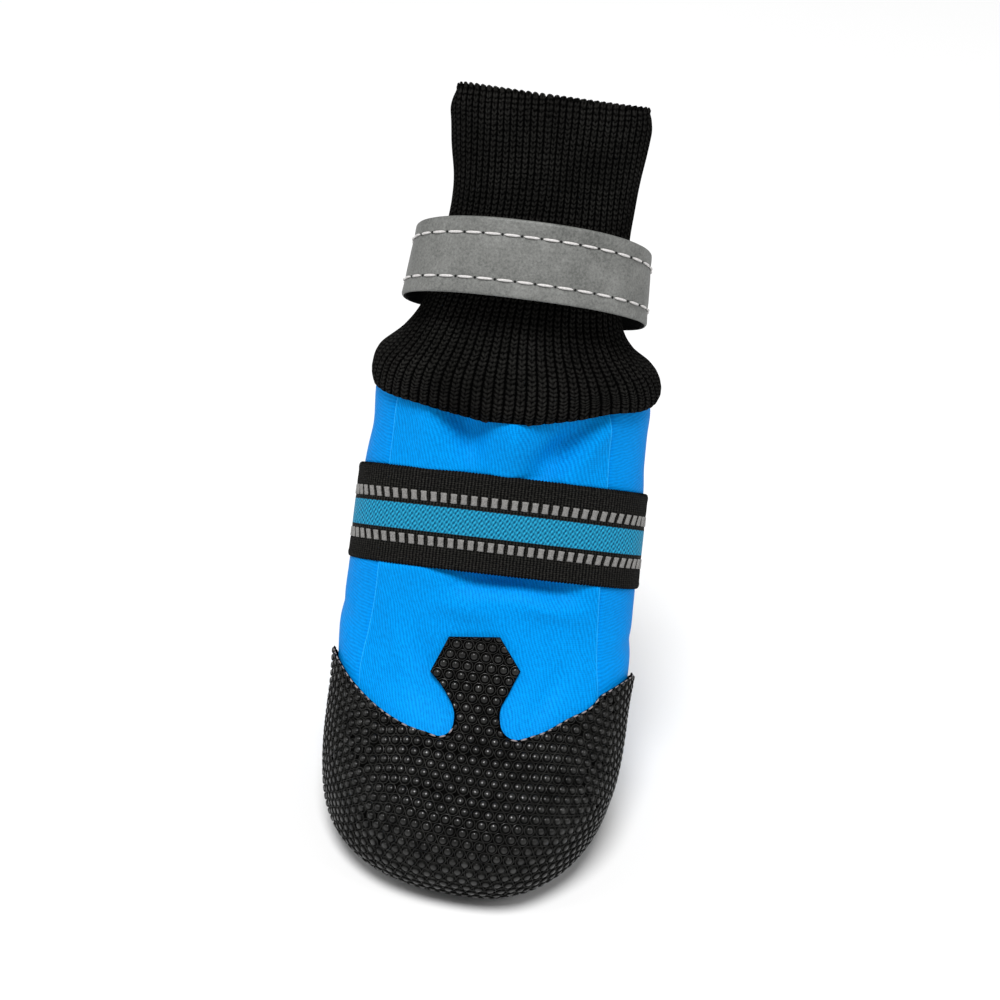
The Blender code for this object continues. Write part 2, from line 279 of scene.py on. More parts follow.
def outline_point(section: Array, angle: Array) -> Array:
    """Points of outlines at angles, lifted by the toe spring.

    Args:
        section: Grid of section rows.
        angle: Grid of angles of the same shape.

    Returns:
        The points, by 3.
    """
    (front_y, front_z, back_y, back_z, half_width, widest, left_power, right_power,
     back_power, toe_slant, shift, tilt) = np.moveaxis(section, -1, 0)
    side, fore = np.cos(angle), np.sin(angle)
    ahead = fore >= 0.0
    share = ease(0.5 + POWER_BLEND * side)
    power = np.where(ahead, left_power + (right_power - left_power) * share, back_power)
    across = np.sign(side) * np.abs(side) ** (2.0 / power)
    reach = np.abs(fore) ** (2.0 / power)
    mid_y = front_y + (back_y - front_y) * widest
    mid_z = front_z + (back_z - front_z) * widest
    y = mid_y + (np.where(ahead, front_y, back_y) - mid_y) * reach
    z = mid_z + (np.where(ahead, front_z, back_z) - mid_z) * reach + tilt * across
    z = z + TOE_SPRING * (np.maximum(-y - SPRING_START, 0.0) / SPRING_LENGTH) ** 2
    x = half_width * across + np.where(ahead, toe_slant, 0.0) * reach ** 2 + shift
    return np.stack([x, y, z], axis=-1)


def flat_outline(section: Section, angle: Array, inset: float, height: float) -> Array:
    """Points of one outline, drawn in by inset and laid flat at a height.

    Args:
        section: The outline.
        angle: Angles round it.
        inset: How far it is drawn in.
        height: Its height.

    Returns:
        The points.
    """
    drawn = section._replace(half_width=section.half_width - inset,
                             front_y=section.front_y + inset,
                             back_y=section.back_y - inset)
    points = outline_point(np.tile(drawn, (len(angle), 1)), angle)
    points[:, 2] = height
    return points


def from_back(angle: Array) -> Array:
    """Length round the shaft from the middle of its back."""
    return np.abs(angle - BACK) * SHAFT_RADIUS


UPPER_FORM = Form((
    Section(-34.5, 3.3, 31.0, 3.3, 29.0, 0.54, 2.4, 1.8, 2.2, 4.0, -0.3, 0.0),
    Section(-38.5, 4.8, 35.0, 4.8, 33.2, 0.54, 2.4, 1.8, 2.2, 4.5, -0.3, 0.0),
    Section(-41.5, 10.0, 37.5, 10.0, 36.4, 0.53, 2.5, 1.8, 2.2, 5.0, -0.2, 0.0),
    Section(-41.2, 18.0, 38.8, 18.0, 37.5, 0.51, 2.5, 1.9, 2.2, 5.0, 0.0, 0.0),
    Section(-37.0, 26.0, 39.6, 24.0, 38.0, 0.49, 2.5, 2.1, 2.2, 4.5, 0.2, 0.0),
    Section(-29.0, 33.0, 40.2, 29.0, 38.2, 0.47, 2.5, 2.2, 2.2, 3.5, 0.4, 0.0),
    Section(-19.5, 41.0, 40.8, 35.0, 38.2, 0.45, 2.4, 2.3, 2.2, 2.2, 0.5, 0.0),
    Section(-11.0, 50.0, 41.4, 41.0, 38.3, 0.45, 2.4, 2.4, 2.2, 1.0, 0.6, 0.0),
    Section(-5.0, 61.0, 42.0, 46.5, 38.0, 0.45, 2.4, 2.4, 2.2, 0.3, 0.6, 0.0),
    Section(0.0, 78.0, 43.3, 52.5, 37.4, 0.45, 2.4, 2.4, 2.2, 0.0, 0.4, 0.0),
    Section(4.0, 104.0, 46.0, 78.5, 36.4, 0.47, 2.4, 2.4, 2.2, 0.0, 0.4, 0.0),
    Section(6.5, 118.5, 46.8, 109.5, 34.7, 0.50, 2.4, 2.4, 2.2, 0.0, 0.6, 0.0),
    Section(8.5, 127.5, 46.0, 122.0, 31.5, 0.50, 2.4, 2.4, 2.2, 0.0, 0.9, 0.0),
))
CUFF_FORM = Form((
    Section(4.2, 119.0, 49.6, 118.6, 36.4, 0.50, 2.4, 2.4, 2.2, 0.0, 0.4, 1.2),
    Section(3.2, 123.0, 50.2, 121.6, 36.9, 0.50, 2.4, 2.4, 2.2, 0.0, 0.5, 1.2),
    Section(4.8, 129.5, 49.4, 123.4, 35.2, 0.50, 2.4, 2.4, 2.2, 0.0, 0.2, 0.9),
    Section(8.5, 136.5, 46.8, 127.0, 29.4, 0.50, 2.3, 2.3, 2.2, 0.0, 0.1, 0.4),
    Section(12.0, 143.5, 44.8, 132.5, 25.6, 0.50, 2.3, 2.3, 2.2, 0.0, 0.2, 0.0),
    Section(16.0, 154.0, 43.5, 144.0, 23.5, 0.50, 2.3, 2.3, 2.2, 0.0, 1.2, 0.0),
    Section(21.0, 168.0, 43.5, 161.0, 22.6, 0.50, 2.5, 2.5, 2.5, 0.0, 2.3, 0.0),
    Section(26.0, 182.0, 44.5, 177.0, 23.9, 0.50, 2.7, 2.7, 2.7, 0.0, 1.9, -0.4),
    Section(30.0, 194.5, 45.0, 190.0, 25.6, 0.50, 3.0, 3.0, 3.0, 0.0, 1.5, -0.7),
))
STRAP_FORM = Form((
    Section(6.7, 151.5, 47.9, 126.5, 29.85, 0.50, 2.3, 2.3, 2.4, 0.0, 0.35, -0.4),
    Section(14.2, 168.5, 44.8, 145.5, 28.2, 0.50, 2.3, 2.3, 2.4, 0.0, 1.0, -0.4),
))
TREAD = Section(-28.5, 0.0, 30.5, 0.0, 27.6, 0.54, 2.4, 2.0, 2.2, 3.0, -0.3, 0.0)
INSOLE = Section(-30.2, 0.0, 29.7, 0.0, 27.7, 0.54, 2.4, 1.8, 2.2, 4.0, -0.3, 0.0)


# --- meshes -----------------------------------------------------------------------------

def grid_of(points: Array) -> bmesh.types.BMesh:
    """A grid of faces over rows by columns of points.

    Args:
        points: Rows by columns by 3.

    Returns:
        The grid.
    """
    rows, columns = points.shape[:2]
    skin = bmesh.new()
    bmesh.ops.create_grid(skin, x_segments=columns - 1, y_segments=rows - 1)
    for vertex, point in zip(skin.verts, points.reshape(-1, 3)):
        vertex.co = point
    return skin


def drape(name: str, points: Array, cloth: Array | None = None,
          zones: Array | None = None, fill: bool = False) -> Mesh:
    """Drape a grid over rows of points and weld what meets.

    Args:
        name: Name of the mesh.
        points: Rows by columns by 3.
        cloth: Rows by columns by 2, the place of each point on the flat cloth.
        zones: Finish of the faces, as indices that fit rows - 1 by columns - 1.
        fill: True if open ends get a face.

    Returns:
        The welded mesh, smooth all over.
    """
    rows, columns = points.shape[:2]
    skin = grid_of(points * MM)
    if cloth is not None:
        skin.verts.index_update()
        layer = skin.loops.layers.uv.new(CLOTH_MAP)
        flat = cloth.reshape(-1, 2) * MM
        for face in skin.faces:
            for loop in face.loops:
                loop[layer].uv = flat[loop.vert.index]
    if zones is not None:
        spread = np.broadcast_to(zones, (rows - 1, columns - 1)).ravel()
        for face, zone in zip(skin.faces, spread):
            face.material_index = int(zone)
    bmesh.ops.remove_doubles(skin, verts=skin.verts, dist=WELD * MM)
    bmesh.ops.reverse_faces(skin, faces=skin.faces)
    if fill:
        rims = [edge for edge in skin.edges if edge.is_boundary]
        bmesh.ops.holes_fill(skin, edges=rims, sides=0)
    return finished_mesh(name, skin)


def finished_mesh(name: str, skin: bmesh.types.BMesh,
                  sharp: float | None = None) -> Mesh:
    """Turn a bmesh into a smooth mesh, with edges sharper than an angle kept sharp.

    Args:
        name: Name of the mesh.
        skin: The bmesh, which is freed.
        sharp: The angle in degrees.

    Returns:
        The mesh.
    """
    mesh = bpy.data.meshes.new(name)
    skin.to_mesh(mesh)
    skin.free()
    mesh.shade_smooth()
    if sharp is not None:
        mesh.set_sharp_from_angle(angle=math.radians(sharp))
    return mesh


def lathe(name: str, profile: Sequence[Pair], steps: int) -> Mesh:
    """Spin (radius, height) points round Z into a closed solid, mapped by the same two.

    Args:
        name: Name of the mesh.
        profile: The points, from the foot to the top.
        steps: Sides all round.

    Returns:
        The mesh.
    """
    turned = bmesh.new()
    verts = [turned.verts.new((radius * MM, 0.0, height * MM))
             for radius, height in profile]
    edges = [turned.edges.new(pair) for pair in zip(verts, verts[1:])]
    bmesh.ops.spin(turned, geom=verts + edges, axis=(0, 0, 1), cent=(0, 0, 0),
                   angle=TURN, steps=steps, use_merge=True)
    bmesh.ops.remove_doubles(turned, verts=turned.verts, dist=WELD * MM)
    rims = [edge for edge in turned.edges if edge.is_boundary]
    bmesh.ops.holes_fill(turned, edges=rims, sides=0)
    bmesh.ops.recalc_face_normals(turned, faces=turned.faces)
    layer = turned.loops.layers.uv.new(CLOTH_MAP)
    for face in turned.faces:
        for loop in face.loops:
            x, y, z = loop.vert.co
            loop[layer].uv = math.hypot(x, y), z
    return finished_mesh(name, turned, SHARP)


def thread(name: str, length: float, thickness: float, arch: float,
           steps: int = 6, sides: int = 7) -> Mesh:
    """One stitch: a thread that lies along X, rises in an arch and dives at both ends.

    Args:
        name: Name of the mesh.
        length: Length of the stitch.
        thickness: Thickness of the thread.
        arch: Rise of its middle.
        steps: Segments along it.
        sides: Sides round it.

    Returns:
        The mesh.
    """
    sewn = bmesh.new()
    bmesh.ops.create_cone(sewn, cap_ends=True, segments=sides, depth=1.0,
                          radius1=0.5, radius2=0.5, matrix=Matrix.Rotation(FRONT, 4, "Y"))
    long_edges = [edge for edge in sewn.edges
                  if abs(edge.verts[0].co.x - edge.verts[1].co.x) > 0.5]
    bmesh.ops.subdivide_edges(sewn, edges=long_edges, cuts=steps - 1)
    for vertex in sewn.verts:
        share = 2.0 * vertex.co.x
        girth = math.sqrt(max(1.0 - abs(share) ** 4, 0.16)) * thickness
        vertex.co = Vector((vertex.co.x * length, vertex.co.y * girth,
                            vertex.co.z * girth + arch * (1.0 - share * share))) * MM
    bmesh.ops.recalc_face_normals(sewn, faces=sewn.faces)
    return finished_mesh(name, sewn, 70.0)


def block(name: str, size: Sequence[float], rounding: float,
          waist: float) -> Mesh:
    """A block with rounded edges, its middle at the origin and drawn in to a waist.

    Args:
        name: Name of the mesh.
        size: Its size along X, Y and Z.
        rounding: Width of its bevels.
        waist: Share that its middle is drawn in.

    Returns:
        The mesh.
    """
    cut = bmesh.new()
    bmesh.ops.create_cube(cut, size=1.0)
    long_edges = [edge for edge in cut.edges
                  if abs(edge.verts[0].co.y - edge.verts[1].co.y) > 0.5]
    bmesh.ops.subdivide_edges(cut, edges=long_edges, cuts=3)
    for vertex in cut.verts:
        x, y, z = vertex.co
        drawn = 1.0 - waist * (1.0 - 4.0 * y * y)
        vertex.co = Vector((x * size[0] * drawn, y * size[1], z * size[2])) * MM
    creases = [edge for edge in cut.edges if edge.calc_face_angle(0.0) > 1.0]
    bmesh.ops.bevel(cut, geom=creases, offset=rounding * MM, segments=1, profile=0.5,
                    affect="EDGES", material=-1)
    return finished_mesh(name, cut, 50.0)


def stand(point: Array, out: Array, along: Array, size: float = 1.0) -> Matrix:
    """Place of a stamped shape: its Z points out of the surface and its X along.

    Args:
        point: The place, in millimetres.
        out: Way out of the surface.
        along: Way that X follows.
        size: Size beside the shape.

    Returns:
        The place.
    """
    out = Vector(out).normalized()
    along = Vector(along)
    along = (along - out * along.dot(out)).normalized()
    place = Matrix((along, out.cross(along), out)).transposed().to_4x4()
    place = place @ Matrix.Scale(size, 4)
    place.translation = Vector(point) * MM
    return place


def stamp(name: str, shape: Mesh, places: Iterable[Matrix]) -> Mesh:
    """Repeat a shape at many places, as one mesh.

    Args:
        name: Name of the mesh.
        shape: The shape.
        places: Its places.

    Returns:
        The mesh.
    """
    sheet = bmesh.new()
    for place in places:
        one = shape.copy()
        one.transform(place)
        sheet.from_mesh(one)
        bpy.data.meshes.remove(one)
    return finished_mesh(name, sheet, SHARP)


def linked(name: str, content: bpy.types.ID) -> bpy.types.Object:
    """A new object in the scene with a mesh, a curve, a light or a camera.

    Args:
        name: Name of the object.
        content: What it shows.

    Returns:
        The object.
    """
    shown = bpy.data.objects.new(name, content)
    bpy.context.scene.collection.objects.link(shown)
    return shown


def add_stamped(name: str, shape: Mesh, places: Iterable[Matrix],
                finish: "Finish") -> None:
    """Make a shape at many places one piece of the boot."""
    add_piece(name, stamp(name, shape, places), [finish])


def add_piece(name: str, mesh: Mesh, finishes: Sequence["Finish"],
              replaces: Sequence[str] = ()) -> bpy.types.Object:
    """Make a mesh a piece of the boot.

    Args:
        name: Name of the piece.
        mesh: Its mesh, in place.
        finishes: Its finishes, by the mesh's material index.
        replaces: Nodes of the frame that it stands for.

    Returns:
        The piece.
    """
    for finish in finishes:
        mesh.materials.append(finish.material())
    piece = linked(name, mesh)
    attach(piece, BODY)
    if replaces:
        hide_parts(*replaces)
    log.info("%s: %d faces", name, len(mesh.polygons))
    return piece


def add_draped(name: str, points: Array, finishes: Sequence["Finish"], node: str,
               cloth: Array | None = None, zones: Array | None = None,
               fill: bool = False) -> bpy.types.Object:
    """Drape rows of points as a piece that stands for a node of the frame."""
    mesh = drape(name, points, cloth, zones, fill)
    return add_piece(name, mesh, finishes, [node])


# --- walls ------------------------------------------------------------------------------

@dataclass(frozen=True)
class Wall:
    """The closed cross-section of a wall, as rows round it.

    The rows run round the lower end, up the outer face, over the upper end and down the
    inner face, back to the first row.
    """

    level: Array
    offset: Array
    rise: Array
    inner: Array

    @classmethod
    def between(cls, form: Form, low: float, high: float, outer: float, inner: float,
                outer_rows: int, inner_rows: int, end_rows: int = 5) -> "Wall":
        """A wall of a form, with half-round ends.

        Args:
            form: The form that it follows.
            low: Level of its lower end.
            high: Level of its upper end.
            outer: Offset of its outer face.
            inner: Offset of its inner face.
            outer_rows: Rows on the outer face.
            inner_rows: Rows on the inner face.
            end_rows: Rows round each end.

        Returns:
            The wall.
        """
        radius, middle = (outer - inner) / 2, (outer + inner) / 2
        turn = np.linspace(0.0, math.pi, end_rows + 2)[1:-1]
        up = form.even_levels(low, high, outer_rows)
        down = form.even_levels(low, high, inner_rows)[::-1]
        level = np.concatenate([
            np.full(end_rows, low), up, np.full(end_rows, high), down])
        offset = np.concatenate([
            middle - radius * np.cos(turn), np.full(outer_rows, outer),
            middle + radius * np.cos(turn), np.full(inner_rows, inner)])
        rise = np.concatenate([-radius * np.sin(turn), np.zeros(outer_rows),
                               radius * np.sin(turn), np.zeros(inner_rows)])
        face = np.concatenate([1.0 - turn / math.pi, np.zeros(outer_rows),
                               turn / math.pi, np.ones(inner_rows)])
        closed = [np.append(row, row[0]) for row in (level, offset, rise, face)]
        return cls(*closed)

    def zones(self, share: float = 0.5) -> Array:
        """A column of 1 for rows more than a share inner, and 0 for the others."""
        return (np.minimum(self.inner[:-1], self.inner[1:]) > share).astype(int)[:, None]


def cloth_of(points: Array, along: Array | None = None) -> Array:
    """The place of each point on the flat cloth: how far along and how far up it is."""
    run = run_length(points, 1) if along is None else along
    return np.stack([run, run_length(points, 0)], axis=-1)


# --- shader maths -----------------------------------------------------------------------

class Value:
    """A number that varies over a surface; its operators add Math nodes."""

    def __init__(self, desk: "Desk", socket: Socket) -> None:
        """Wrap a socket of the desk's tree."""
        self.desk = desk
        self.socket = socket

    def math(self, operation: str, *others: "Value | float") -> "Value":
        """This value and others through a Math node."""
        return self.desk.math(operation, self, *others)

    def __add__(self, other: "Value | float") -> "Value":
        """Sum."""
        return self.math("ADD", other)

    __radd__ = __add__

    def __sub__(self, other: "Value | float") -> "Value":
        """Difference."""
        return self.math("SUBTRACT", other)

    def __rsub__(self, other: float) -> "Value":
        """Difference from a number."""
        return self.desk.math("SUBTRACT", other, self)

    def __mul__(self, other: "Value | float") -> "Value":
        """Product."""
        return self.math("MULTIPLY", other)

    __rmul__ = __mul__

    def __truediv__(self, other: "Value | float") -> "Value":
        """Quotient."""
        return self.math("DIVIDE", other)

    def __pow__(self, other: float) -> "Value":
        """Power."""
        return self.math("POWER", other)

    def __abs__(self) -> "Value":
        """Size without sign."""
        return self.math("ABSOLUTE")

    def share(self) -> "Value":
        """The part after the point."""
        return self.math("FRACT")

    def whole(self) -> "Value":
        """The part before the point."""
        return self.math("FLOOR")

    def wave(self) -> "Value":
        """A wave from 0 to 1 and back as the value grows by 1."""
        return (self * TURN).math("COSINE") * -0.5 + 0.5

    def clamped(self) -> "Value":
        """Held between 0 and 1."""
        return self.math("MAXIMUM", 0.0).math("MINIMUM", 1.0)

    def ramp(self, low: float, high: float) -> "Value":
        """0 below low, 1 above high and a straight line between them."""
        return ((self - low) * (1.0 / (high - low))).clamped()


class Desk:
    """The node tree of one finish."""

    def __init__(self, name: str) -> None:
        """Make the material, with its Principled shader.

        Args:
            name: Name of the material.
        """
        self.material = bpy.data.materials.new(name)
        self.material.use_nodes = True
        self.tree = self.material.node_tree
        self.shader = self.tree.nodes["Principled BSDF"]

    def node(self, kind: str, settings: Mapping[str, object] | None = None,
             sockets: Mapping[str | int, object] | None = None) -> bpy.types.Node:
        """Add a node.

        Args:
            kind: The node's type.
            settings: Its own settings, such as an operation, set first.
            sockets: Values or links of its inputs, by name or place.

        Returns:
            The node.
        """
        node = self.tree.nodes.new(kind)
        for key, value in (settings or {}).items():
            setattr(node, key, value)
        for key, value in (sockets or {}).items():
            self.plug(node.inputs[key], value)
        return node

    def plug(self, socket: Socket, value: object) -> None:
        """Link a value to a socket, or set the socket's own number or colour."""
        if isinstance(value, Value):
            value = value.socket
        if isinstance(value, Socket):
            self.tree.links.new(value, socket)
        elif isinstance(value, tuple) and len(value) == 3 and socket.type == "RGBA":
            socket.default_value = (*value, 1.0)
        else:
            socket.default_value = value

    def math(self, operation: str, *values: Value | float) -> Value:
        """A Math node of values."""
        node = self.node("ShaderNodeMath", {"operation": operation},
                         dict(enumerate(values)))
        return Value(self, node.outputs[0])

    def place(self) -> Socket:
        """Places on the piece, in metres."""
        return self.node("ShaderNodeTexCoord").outputs["Object"]

    def cloth(self) -> tuple[Value, Value]:
        """How far along and how far up the cloth a place is, in millimetres.

        Returns:
            The two lengths.
        """
        mapped = self.node("ShaderNodeUVMap", {"uv_map": CLOTH_MAP}).outputs[0]
        split = self.node("ShaderNodeSeparateXYZ", sockets={0: mapped})
        return tuple(Value(self, split.outputs[axis]) * (1.0 / MM) for axis in "XY")

    def height(self) -> Value:
        """How high a place is, in millimetres."""
        split = self.node("ShaderNodeSeparateXYZ", sockets={0: self.place()})
        return Value(self, split.outputs["Z"]) * (1.0 / MM)

    def point(self, across: Value | float, up: Value | float) -> Socket:
        """A vector of two values."""
        return self.node("ShaderNodeCombineXYZ", sockets={0: across, 1: up}).outputs[0]

    def noise(self, vector: Socket, scale: float, detail: float = 2.0,
              roughness: float = 0.5) -> Value:
        """Noise from about 0 to 1."""
        node = self.node("ShaderNodeTexNoise", sockets={
            "Vector": vector, "Scale": scale, "Detail": detail, "Roughness": roughness})
        return Value(self, node.outputs[0])

    def cells(self, vector: Socket, scale: float) -> Value:
        """Distance to the nearest of scattered points, in cells."""
        node = self.node("ShaderNodeTexVoronoi",
                         sockets={"Vector": vector, "Scale": scale})
        return Value(self, node.outputs["Distance"])

    def mix(self, share: Value | float, first: object, second: object) -> object:
        """Colour between first and second."""
        node = self.node("ShaderNodeMix", {"data_type": "RGBA"},
                         {0: share, 6: first, 7: second})
        return node.outputs[2]

    def relief(self, height: Value, depth: float) -> Socket:
        """Normals of a relief, depth millimetres from 0 to 1."""
        node = self.node("ShaderNodeBump", sockets={
            "Height": height, "Strength": 1.0, "Distance": depth * MM})
        return node.outputs[0]

    def dress(self, colour: object, roughness: object, normal: object = None,
              **constants: float) -> None:
        """Set the shader's inputs.

        Args:
            colour: Base colour, or a link.
            roughness: Roughness, or a link.
            normal: Link of a relief.
            **constants: Other inputs, by name with underscores, all numbers.
        """
        self.plug(self.shader.inputs["Base Color"], colour)
        self.plug(self.shader.inputs["Roughness"], roughness)
        if normal is not None:
            self.plug(self.shader.inputs["Normal"], normal)
        for name, value in constants.items():
            self.plug(self.shader.inputs[name.replace("_", " ")], value)


# --- finishes ---------------------------------------------------------------------------

@dataclass(frozen=True)
class Finish:
    """A finish, made as a material once."""

    name: str

    def material(self) -> bpy.types.Material:
        """The finish's material, made when it is first asked for."""
        return bpy.data.materials.get(self.name) or self.made(Desk(self.name))

    def made(self, desk: Desk) -> bpy.types.Material:
        """The material, built on a desk."""
        self.make(desk)
        return desk.material

    def make(self, desk: Desk) -> None:
        """Dress the desk's shader."""
        raise NotImplementedError


@dataclass(frozen=True)
class StretchTwill(Finish):
    """Bright stretch fabric with fine twill lines that run up the boot."""

    name: str = "stretch_twill"
    low: Colour = (0.0, 0.175, 0.54)
    high: Colour = (0.0, 0.31, 0.84)
    line_pitch: float = 0.84
    lean: float = -0.22     # how far the lines lean as they go up
    across: bool = False    # True if the lines run round the boot
    roughness: float = 0.62

    def make(self, desk: Desk) -> None:
        """Leaning lines crossed by fine courses, over a soft unevenness.

        Args:
            desk: Desk of the finish.
        """
        along, up = desk.cloth()
        if self.across:
            along, up = desk.height(), along
        sway = desk.noise(desk.point(along, up), 0.12, 2.0) * 2.4
        line = ((along + up * self.lean + sway) / self.line_pitch).wave()
        course = ((up - along * 0.35) / 0.55).wave()
        cloud = desk.noise(desk.place(), 45.0, 3.0)
        broken = desk.noise(desk.point(along * 2.0, up * 0.3), 1.0, 2.0)
        speck = desk.noise(desk.point(along, up * 0.6), 1.5, 3.0, 0.7)
        weave = line * (0.2 + broken * 0.8) + course * 0.25
        tone = (weave * 0.52 + speck * 0.9 + cloud * 0.25).ramp(0.5, 1.04)
        desk.dress(desk.mix(tone, self.low, self.high),
                          self.roughness - line * 0.06, desk.relief(weave, 0.05),
                          Specular_IOR_Level=0.03)


@dataclass(frozen=True)
class Grained(Finish):
    """A plain finish with one fine grain: a nap, a twist or a faint cloud."""

    name: str
    low: Colour
    high: Colour
    scale: float
    detail: float = 2.0
    grit: float = 0.5
    span: Pair | None = None    # of the grain, from low to high
    roughness: float = 0.6
    depth: float = 0.05
    shine: float = 0.35

    def make(self, desk: Desk) -> None:
        """The grain in colour, and in relief if it has a depth.

        Args:
            desk: Desk of the finish.
        """
        grain = desk.noise(desk.place(), self.scale, self.detail, self.grit)
        tone = grain.ramp(*self.span) if self.span else grain
        relief = desk.relief(grain, self.depth) if self.depth else None
        desk.dress(desk.mix(tone, self.low, self.high), self.roughness, relief,
                   Specular_IOR_Level=self.shine)


def yarn(name: str, colour: Colour, dark: float, roughness: float = 0.6) -> Grained:
    """Sewing thread of a colour, with a fine random darker grain as painted shade between
    its twists.
    """
    return Grained(name, tuple(channel * dark for channel in colour), colour, 2800.0,
                   span=(0.3, 0.7), roughness=roughness)


@dataclass(frozen=True)
class CoatedMesh(Finish):
    """Black coated mesh between the studs."""

    name: str = "coated_mesh"
    cell: float = 0.55

    def make(self, desk: Desk) -> None:
        """Tiny cells with raised threads between them.

        Args:
            desk: Desk of the finish.
        """
        place = desk.place()
        cells = desk.cells(place, 1.0 / (self.cell * MM))
        worn = desk.noise(place, 300.0, 3.0)
        desk.dress(desk.mix(cells, BLACK, (0.003, 0.003, 0.0028)),
                          0.6 + worn * 0.2, desk.relief(cells.ramp(0.1, 0.6), 0.12),
                          Specular_IOR_Level=0.0)


@dataclass(frozen=True)
class StudRubber(Finish):
    """Black rubber of the studs."""

    name: str = "stud_rubber"

    def make(self, desk: Desk) -> None:
        """A satin skin, coloured lighter on the ring crests and dome tops as painted
        highlight, broken up by random dust.

        Args:
            desk: Desk of the finish.
        """
        place = desk.place()
        _, height = desk.cloth()
        dust = desk.noise(place, 260.0, 4.0, 0.6).ramp(0.3, 0.75)
        grain = desk.noise(place, 3500.0, 2.0)
        ring = height.ramp(0.1, 0.2) * (1.0 - height.ramp(0.26, 0.36))
        crown = height.ramp(0.5, 0.78)
        # painted highlight: ring crests and dome tops are coloured grey against the black
        # moats, scaled by random dust
        dust_and_painted_highlight = (ring * 0.4 + crown * 0.18) * (0.3 + dust * 0.7)
        gloss = ring * 0.3 + crown * (0.4 + dust * 0.6)
        desk.plug(desk.shader.inputs["Coat Weight"], gloss)
        # the grey is the colour of the painted highlight on the black rubber
        desk.dress(desk.mix(dust_and_painted_highlight, BLACK, (0.14, 0.14, 0.133)),
                          0.5 + dust * 0.2, desk.relief(grain, 0.03),
                          Specular_IOR_Level=0.02, Coat_Roughness=0.2, Coat_IOR=1.42)


@dataclass(frozen=True)
class RibKnit(Finish):
    """Black knit yarn: each rib is one column of V stitches."""

    name: str = "rib_knit"
    stitch: float = 1.25
    slant: float = 0.55     # rise of a stitch's leg, in stitches
    low: Colour = (0.0006, 0.0006, 0.0006)
    high: Colour = (0.040, 0.039, 0.036)

    def make(self, desk: Desk) -> None:
        """A slanting strand for each leg of a stitch, with a loose fibre on the yarn; the
        colour is lighter on the raised strands and darker in the rib valleys, as painted
        shade.

        Args:
            desk: Desk of the finish.
        """
        rib, up = desk.cloth()
        side = abs(rib.share() * 2.0 - 1.0)
        leg = (1.0 - side ** 5.0) * (1.0 - abs(side * 2.0 - 0.9) ** 2.0 * 0.45)
        pull = desk.noise(desk.place(), 420.0, 2.0)
        strand = (up / self.stitch - side * self.slant + pull * 1.2).wave()
        fibre = desk.noise(desk.place(), 2300.0, 4.0, 0.7)
        worn = desk.noise(desk.place(), 70.0, 2.0)
        height = leg * (0.45 + strand * (0.3 + pull * 0.5))
        # painted shade: the colour follows the strands' height and is darkest in the rib
        # valleys; the fibre and worn noise vary it at random
        tone = (height * 0.45 + fibre * 0.75).ramp(0.52, 1.02) * (0.2 + worn * 0.9)
        desk.dress(desk.mix(tone, self.low, self.high), 0.9,
                          desk.relief(height * 0.5 + fibre * 0.5, 0.34),
                          Specular_IOR_Level=0.01)


@dataclass(frozen=True)
class WovenElastic(Finish):
    """Woven elastic: ribbed black edges and a stripe in the middle."""

    name: str = "woven_elastic"
    width: float = 25.9
    stripe: float = 6.6
    rib_pitch: float = 1.0
    slub_pitch: float = 1.05
    low: Colour = (0.002, 0.065, 0.15)
    high: Colour = (0.025, 0.41, 0.68)

    def make(self, desk: Desk) -> None:
        """Zones across the width, each with its own weave; the colour is partly painted
        light, lighter on the raised ribs and picks as painted highlight and darker
        between them as painted shade, and partly random jitter.

        Args:
            desk: Desk of the finish.
        """
        along, up = desk.cloth()
        from_middle = abs(up - self.width / 2)
        stripe = 1.0 - from_middle.ramp(self.stripe / 2 - 0.08, self.stripe / 2 + 0.08)
        jitter = desk.noise(desk.point(along, up), 1.7, 3.0, 0.6)
        slub = ((along + up * 0.55) / self.slub_pitch).wave()
        row = (up / 1.25 + ((along / self.slub_pitch).whole() * 0.5)).wave()
        picks = slub * 0.55 + row * 0.45
        rib = (along / self.rib_pitch).wave()
        rows = (up / 0.62 + rib * 0.2).wave()
        # painted highlight on the raised ribs and rows of the black edges, mixed with
        # random jitter
        black = desk.mix((rib * 0.3 + rows * 0.15 + jitter * 1.0).ramp(0.6, 1.05),
                         BLACK, (0.029, 0.028, 0.025))
        # painted highlight on the raised picks of the stripe and painted shade between
        # them, mixed with random jitter
        teal = desk.mix((picks * 0.7 + jitter * 0.3).ramp(0.2, 0.8), self.low, self.high)
        height = stripe * picks + (1.0 - stripe) * (rib * 0.6 + rows * 0.4)
        desk.dress(desk.mix(stripe, black, teal), 0.74 - stripe * 0.16,
                          desk.relief(height, 0.24), Specular_IOR_Level=0.06)


@dataclass(frozen=True)
class ReflectiveTape(Finish):
    """Grey reflective tape with a fine bead grain."""

    name: str = "reflective_tape"
    low: Colour = (0.070, 0.073, 0.068)
    high: Colour = (0.255, 0.258, 0.247)

    def make(self, desk: Desk) -> None:
        """Bead grain under a faint cloudiness and creases.

        Args:
            desk: Desk of the finish.
        """
        place = desk.place()
        bead = desk.noise(place, 1700.0, 3.0, 0.7)
        cloud = desk.noise(place, 110.0, 4.0, 0.6)
        crease = abs(desk.noise(place, 90.0, 3.0, 0.5) - 0.5).ramp(0.0, 0.05)
        tone = (bead * 0.6 + cloud * 0.4).ramp(0.3, 0.7)
        desk.dress(desk.mix(tone, self.low, self.high), 0.5 + cloud * 0.16,
                          desk.relief(bead * 0.3 + crease * 0.7, 0.03),
                          Metallic=0.15, Specular_IOR_Level=0.35)


